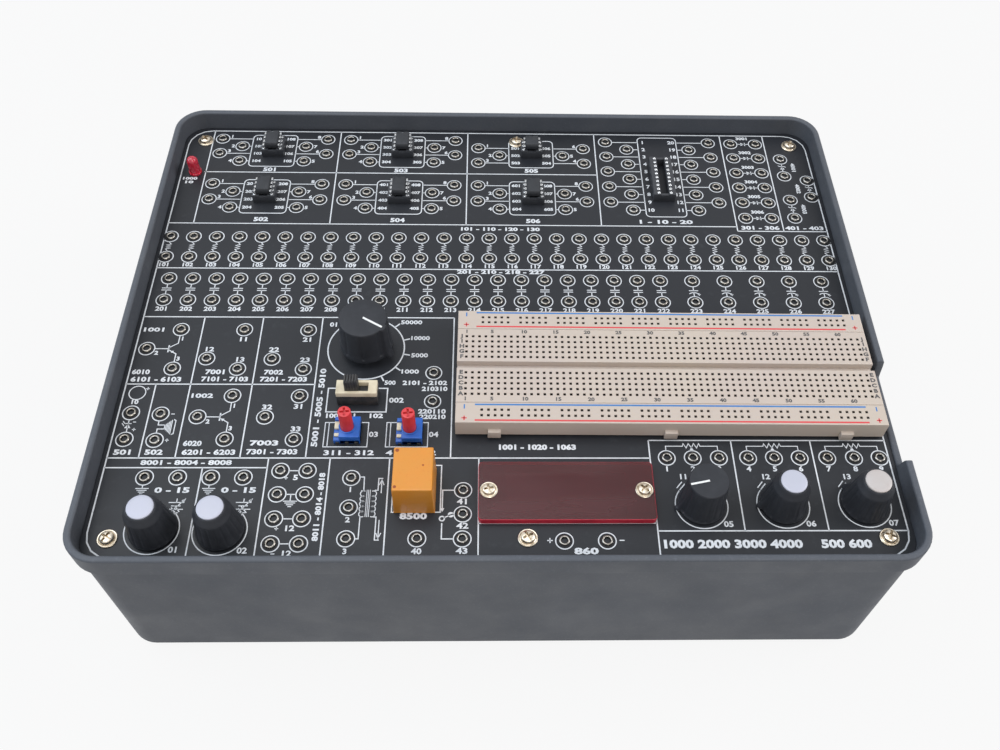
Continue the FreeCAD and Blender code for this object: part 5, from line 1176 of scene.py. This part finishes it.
def make_trimmers():
    rim = lathe([(2.9, 0.0), (3.2, 0.1), (3.2, 0.35), (2.75, 0.45), (2.6, 0.2)])
    pin = (1.4, 1.2, 1.3, 0.15)
    for number, (shares, letter) in enumerate(zip(TRIMMERS, "ab"), start=1):
        x, y = spot(shares)
        case = Piece()
        for slot, sizes, across, along, rise in (
                (0, (7.8, 9.5, 4.6, 0.3), 1.1, 0.0, 0.0), (0, (10.0, 9.5, 2.3, 0.2), 0.0, 0.0, 0.0),
                (0, (2.2, 1.6, 4.3, 0.2), -3.6, 3.9, 0.0), (1, (1.8, 3.2, 1.2, 0.15), -3.9, 1.6, 2.2),
                (1, (3.4, 1.3, 0.8, 0.12), -3.0, -2.6, 2.4), (2, pin, -3.6, -4.4, 0.0),
                (2, pin, 3.6, -4.4, 0.0), (2, pin, 0.0, -4.4, 0.0)):
            case.add(block(*sizes), (x + across, y + along, PANEL + rise), slot=slot)
        case.add(rim, (x + 0.2, y, PANEL + 4.5))
        case.make(f"trimmer_case_{number}", ["trimmer_blue", "switch_cream", "switch_black"], "trimmer_blue",
                  f"trimmer_body_{number}")
        low, high = (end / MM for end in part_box(f"trimmer_shaft_{number}"))
        height = high.z - low.z
        spindle = lathe([(2.5, 0.0), (2.5, height - 0.35), (2.4, height - 0.1), (2.15, height)], 48)
        slots = [shifted(block(along, across, 3.0, 0.05), 0, 0, height - 1.3)
                 for along, across in ((3.6, 0.85), (0.85, 3.6))]
        shaft = Piece().add(carved(spindle, *slots), (*((low + high) / 2).xy, low.z), 0.12)
        shaft.make(f"trimmer_spindle_{number}", ["trimmer_red"], "trimmer_red", f"trimmer_shaft_{number}",
                   f"trimmer_{letter}")


# ---------------------------------------------------------------- knobs

# Radius, height and share of the flutes' depth
CAPPED_PROFILE = [
    (8.5, 0.0, 0.0), (8.65, 0.15, 0.0), (8.65, 1.0, 0.0), (8.5, 1.25, 0.3), (8.42, 1.6, 1.0),
    (7.9, 5.0, 1.0), (7.35, 8.6, 1.0), (6.95, 11.4, 1.0), (6.85, 11.9, 0.6), (6.8, 12.3, 0.0),
    (6.72, 12.9, 0.0), (6.35, 13.5, 0.0), (5.9, 14.4, 0.0), (5.5, 15.3, 0.0), (5.3, 15.8, 0.0),
    (5.1, 16.0, 0.0), (4.85, 16.0, 0.0), (4.78, 15.9, 0.0), (4.76, 15.0, 0.0)]
PLAIN_PROFILE = [
    (8.5, 0.0, 0.0), (8.7, 0.15, 0.0), (8.7, 1.0, 0.0), (8.5, 1.25, 0.3), (8.4, 1.6, 1.0), (8.0, 6.0, 1.0),
    (7.6, 11.0, 1.0), (7.3, 15.2, 1.0), (7.25, 15.9, 0.5), (7.2, 16.2, 0.0), (7.05, 16.6, 0.0),
    (6.85, 16.8, 0.0), (5.0, 16.8, 0.0), (2.0, 16.8, 0.0)]
SELECTOR_PROFILE = [
    (9.0, 0.0), (10.45, 0.0), (10.6, 0.15), (10.6, 1.6), (10.35, 2.1), (10.2, 4.0), (9.85, 10.0), (9.6, 15.2),
    (9.5, 15.75), (9.25, 16.1), (8.9, 16.2), (5.0, 16.2), (1.0, 16.2)]


def grip(profile, sides, reach):
    """A turned profile whose radius also follows the angle and its distance from the nose at zero."""
    loops = []
    for row in profile:
        loop = []
        for place in range(sides):
            angle = FULL * place / sides
            radius = reach(angle, min(angle, FULL - angle), *row)
            loop.append((radius * math.cos(angle), radius * math.sin(angle), row[1]))
        loops.append(loop)
    return skin(loops)


def knob_reach(angle, off, radius, height, share):
    flute = 0.2 * share * (0.5 + 0.5 * math.cos(angle * 18)) ** 3
    nose = max(0.0, 1 - height / 5.2) * 1.7 * max(0.0, 1 - (off / 0.19) ** 2)
    return radius - flute + nose


def selector_reach(angle, off, radius, height):
    swell = 0.9 + 1.2 * max(0.0, 1 - height / 16.4) ** 3
    nose = swell * max(0.0, min(1.0, (2.0 - off * radius) / 0.8)) if radius > 8 else 0.0
    flute = 0.25 * max(0.0, math.cos(angle * 9 + math.pi)) ** 6 if 2 < height < 15.5 else 0.0
    return radius + nose - flute


def make_knobs():
    base = PANEL + 1.0
    cap = lathe([(4.7, 0.0), (4.7, 1.05), (4.62, 1.28), (4.4, 1.42), (3.6, 1.49), (0.1, 1.5)], 56)
    for number, (shares, angle) in enumerate(zip(KNOBS, KNOB_ANGLES), start=1):
        x, y = spot(shares)
        body, turn, plain = f"control_{number}", math.radians(angle), number == PLAIN_KNOB
        profile = PLAIN_PROFILE if plain else CAPPED_PROFILE
        knob = Piece().add(grip(profile, 216, knob_reach), (x, y, base), turn)
        if plain:
            knob.add(shifted(block(7.0, 0.75, 0.08, 0.02), 3.4), (x, y, base + 16.78), turn, 1)
        knob.make(f"control_knob_{number}", ["knob_black", "knob_mark"], "knob_black", f"knob_{number}", body)
        if not plain:
            Piece().add(cap, (x, y, base + 15.0)).make(
                f"control_cap_{number}", ["cap_warm_grey" if number == WARM_GREY_CAP else "cap_pale"], "cap_pale",
                f"knob_cap_{number}", body)


def make_selector():
    x, y = spot(SELECTOR)
    base, turn = PANEL + 3.8, math.radians(SELECTOR_ANGLE)
    knob = Piece().add(grip(SELECTOR_PROFILE, 144, selector_reach), (x, y, base), turn)
    knob.add(shifted(block(9.0, 0.85, 0.08, 0.02), 4.6), (x, y, base + 16.18), turn, 1)
    knob.make("selector_grip", ["knob_black", "knob_mark"], "knob_black", "selector_knob", "selector")


# ---------------------------------------------------------------- CAD nodes that stay

KEPT = {
    "panel_board": ["panel_board"], "display_dark": ["meter_display"], "winding_tape": ["transformer_winding"],
    "core_steel": ["transformer_core", "speaker_magnet"], "circuit_green": ["meter_board", "supply_board"],
    "screw_nickel": ["inner_screws"], "capacitor_sleeve": ["filter_capacitors"], "chip_black": ["regulators"],
    "sink_aluminium": ["heat_sink"], "speaker_paper": ["speaker_basket"], "rocker_red": ["rocker_key"],
    "inlet_black": ["mains_inlet", "rocker_housing"],
    "bare_steel": [
        "window_nuts", "meter_spacers", "pot_bodies", "control_nuts", "rotary_switch", "rotary_shaft",
        "transformer_bracket", *(f"pot_shaft_{number}" for number in range(1, 6))],
}


def dress_kept():
    for colour, labels in KEPT.items():
        for label in labels:
            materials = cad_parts[label].data.materials
            materials.clear()
            materials.append(paint[colour])


# ---------------------------------------------------------------- stage


def seen_rays(tree):
    """1 for the rays of the camera and those that metal and glass send on, 0 for all others."""
    path = tree.nodes.new("ShaderNodeLightPath")
    seen = path.outputs["Is Camera Ray"]
    for label in ("Is Glossy Ray", "Is Transmission Ray"):
        inputs = {0: seen, 1: path.outputs[label]}
        seen = add_node(tree, "ShaderNodeMath", inputs, "Value", operation="ADD", use_clamp=True)
    return seen


def blend(tree, share, first, second, output):
    """Leads the mix of two shaders to the output's surface."""
    mixed = add_node(tree, "ShaderNodeMixShader", {"Fac": share, 1: first, 2: second}, "Shader")
    feed(tree, tree.nodes[output].inputs["Surface"], mixed)


def make_floor():
    white = bpy.data.materials.new("floor_white")
    white.use_nodes = True
    tree = white.node_tree
    shader = tree.nodes["Principled BSDF"]
    shader.inputs["Base Color"].default_value = (0.38, 0.38, 0.38, 1)
    shader.inputs["Roughness"].default_value = 0.9
    share = add_node(tree, "ShaderNodeMath", {0: seen_rays(tree), 1: 0.9}, "Value", operation="MULTIPLY")
    glow = add_node(tree, "ShaderNodeEmission", {"Color": (1, 1, 1, 1), "Strength": 1.0}, "Emission")
    blend(tree, share, shader.outputs["BSDF"], glow, "Material Output")
    reach = 6.0  # in metres, as all of the stage
    mesh = bpy.data.meshes.new("floor")
    mesh.from_pydata([(-reach, -reach, 0), (reach, -reach, 0), (reach, reach, 0), (-reach, reach, 0)], [],
                     [[0, 1, 2, 3]])
    mesh.materials.append(white)
    floor = shown("floor", mesh)


def make_world():
    world = bpy.data.worlds.new("studio")
    bpy.context.scene.world = world
    world.use_nodes = True
    tree = world.node_tree
    soft = tree.nodes["Background"]
    soft.inputs["Color"].default_value = (0.92, 0.96, 1.0, 1)
    soft.inputs["Strength"].default_value = 0.44
    inputs = {"Color": (0.95, 0.95, 0.95, 1), "Strength": 1.0}
    white = add_node(tree, "ShaderNodeBackground", inputs, "Background")
    blend(tree, seen_rays(tree), soft.outputs["Background"], white, "World Output")


def make_lights():
    target = Vector((0, 0, 0.05))
    for label, place, size, power, colour in (
            ("window", (1.2, 0.1, 0.9), 0.6, 8.5, (0.97, 0.97, 1.0)),
            ("top", (-0.4, 0.1, 1.45), 1.1, 10.5, (0.92, 0.96, 1.0)),
            ("fill", (-1.2, 0.1, 0.75), 1.0, 7.5, (0.68, 0.83, 1.0)),
            ("front", (0.3, -1.15, 1.15), 0.7, 7.0, (1.0, 0.95, 0.9))):
        lamp = bpy.data.lights.new(label, "AREA")
        lamp.size = size
        lamp.energy = power
        lamp.color = colour
        thing = shown(label, lamp)
        thing.location = place
        thing.rotation_mode = "QUATERNION"
        thing.rotation_quaternion = (target - Vector(place)).to_track_quat("-Z", "Y")


def make_camera():
    """The camera that the picture's known points gave."""
    data = bpy.data.cameras.new("photo")
    data.sensor_width = 36.0
    data.lens = 35.571
    data.shift_x = -0.01584
    data.shift_y = 0.00474
    data.clip_start = 0.01
    data.clip_end = 20
    camera = shown("photo", data)
    right = Vector((0.99958, -0.014624, 0.025009))
    down = Vector((0.002608, -0.814308, -0.580428))
    forward = Vector((0.028853, 0.580249, -0.813928))
    turn = Matrix((right, -down, -forward)).transposed()
    camera.matrix_world = Matrix.Translation((-0.005678, -0.263152, 0.398102)) @ turn.to_4x4()
    bpy.context.scene.camera = camera


bpy.context.scene.view_settings.view_transform = "Standard"
make_camera()
make_floor()
make_world()
make_lights()
make_tray()
make_feet()
make_screws()
make_jacks()
make_print()
make_sockets()
make_breadboard()
make_lamp()
make_relay()
make_window()
make_slide_switch()
make_trimmers()
make_knobs()
make_selector()
dress_kept()
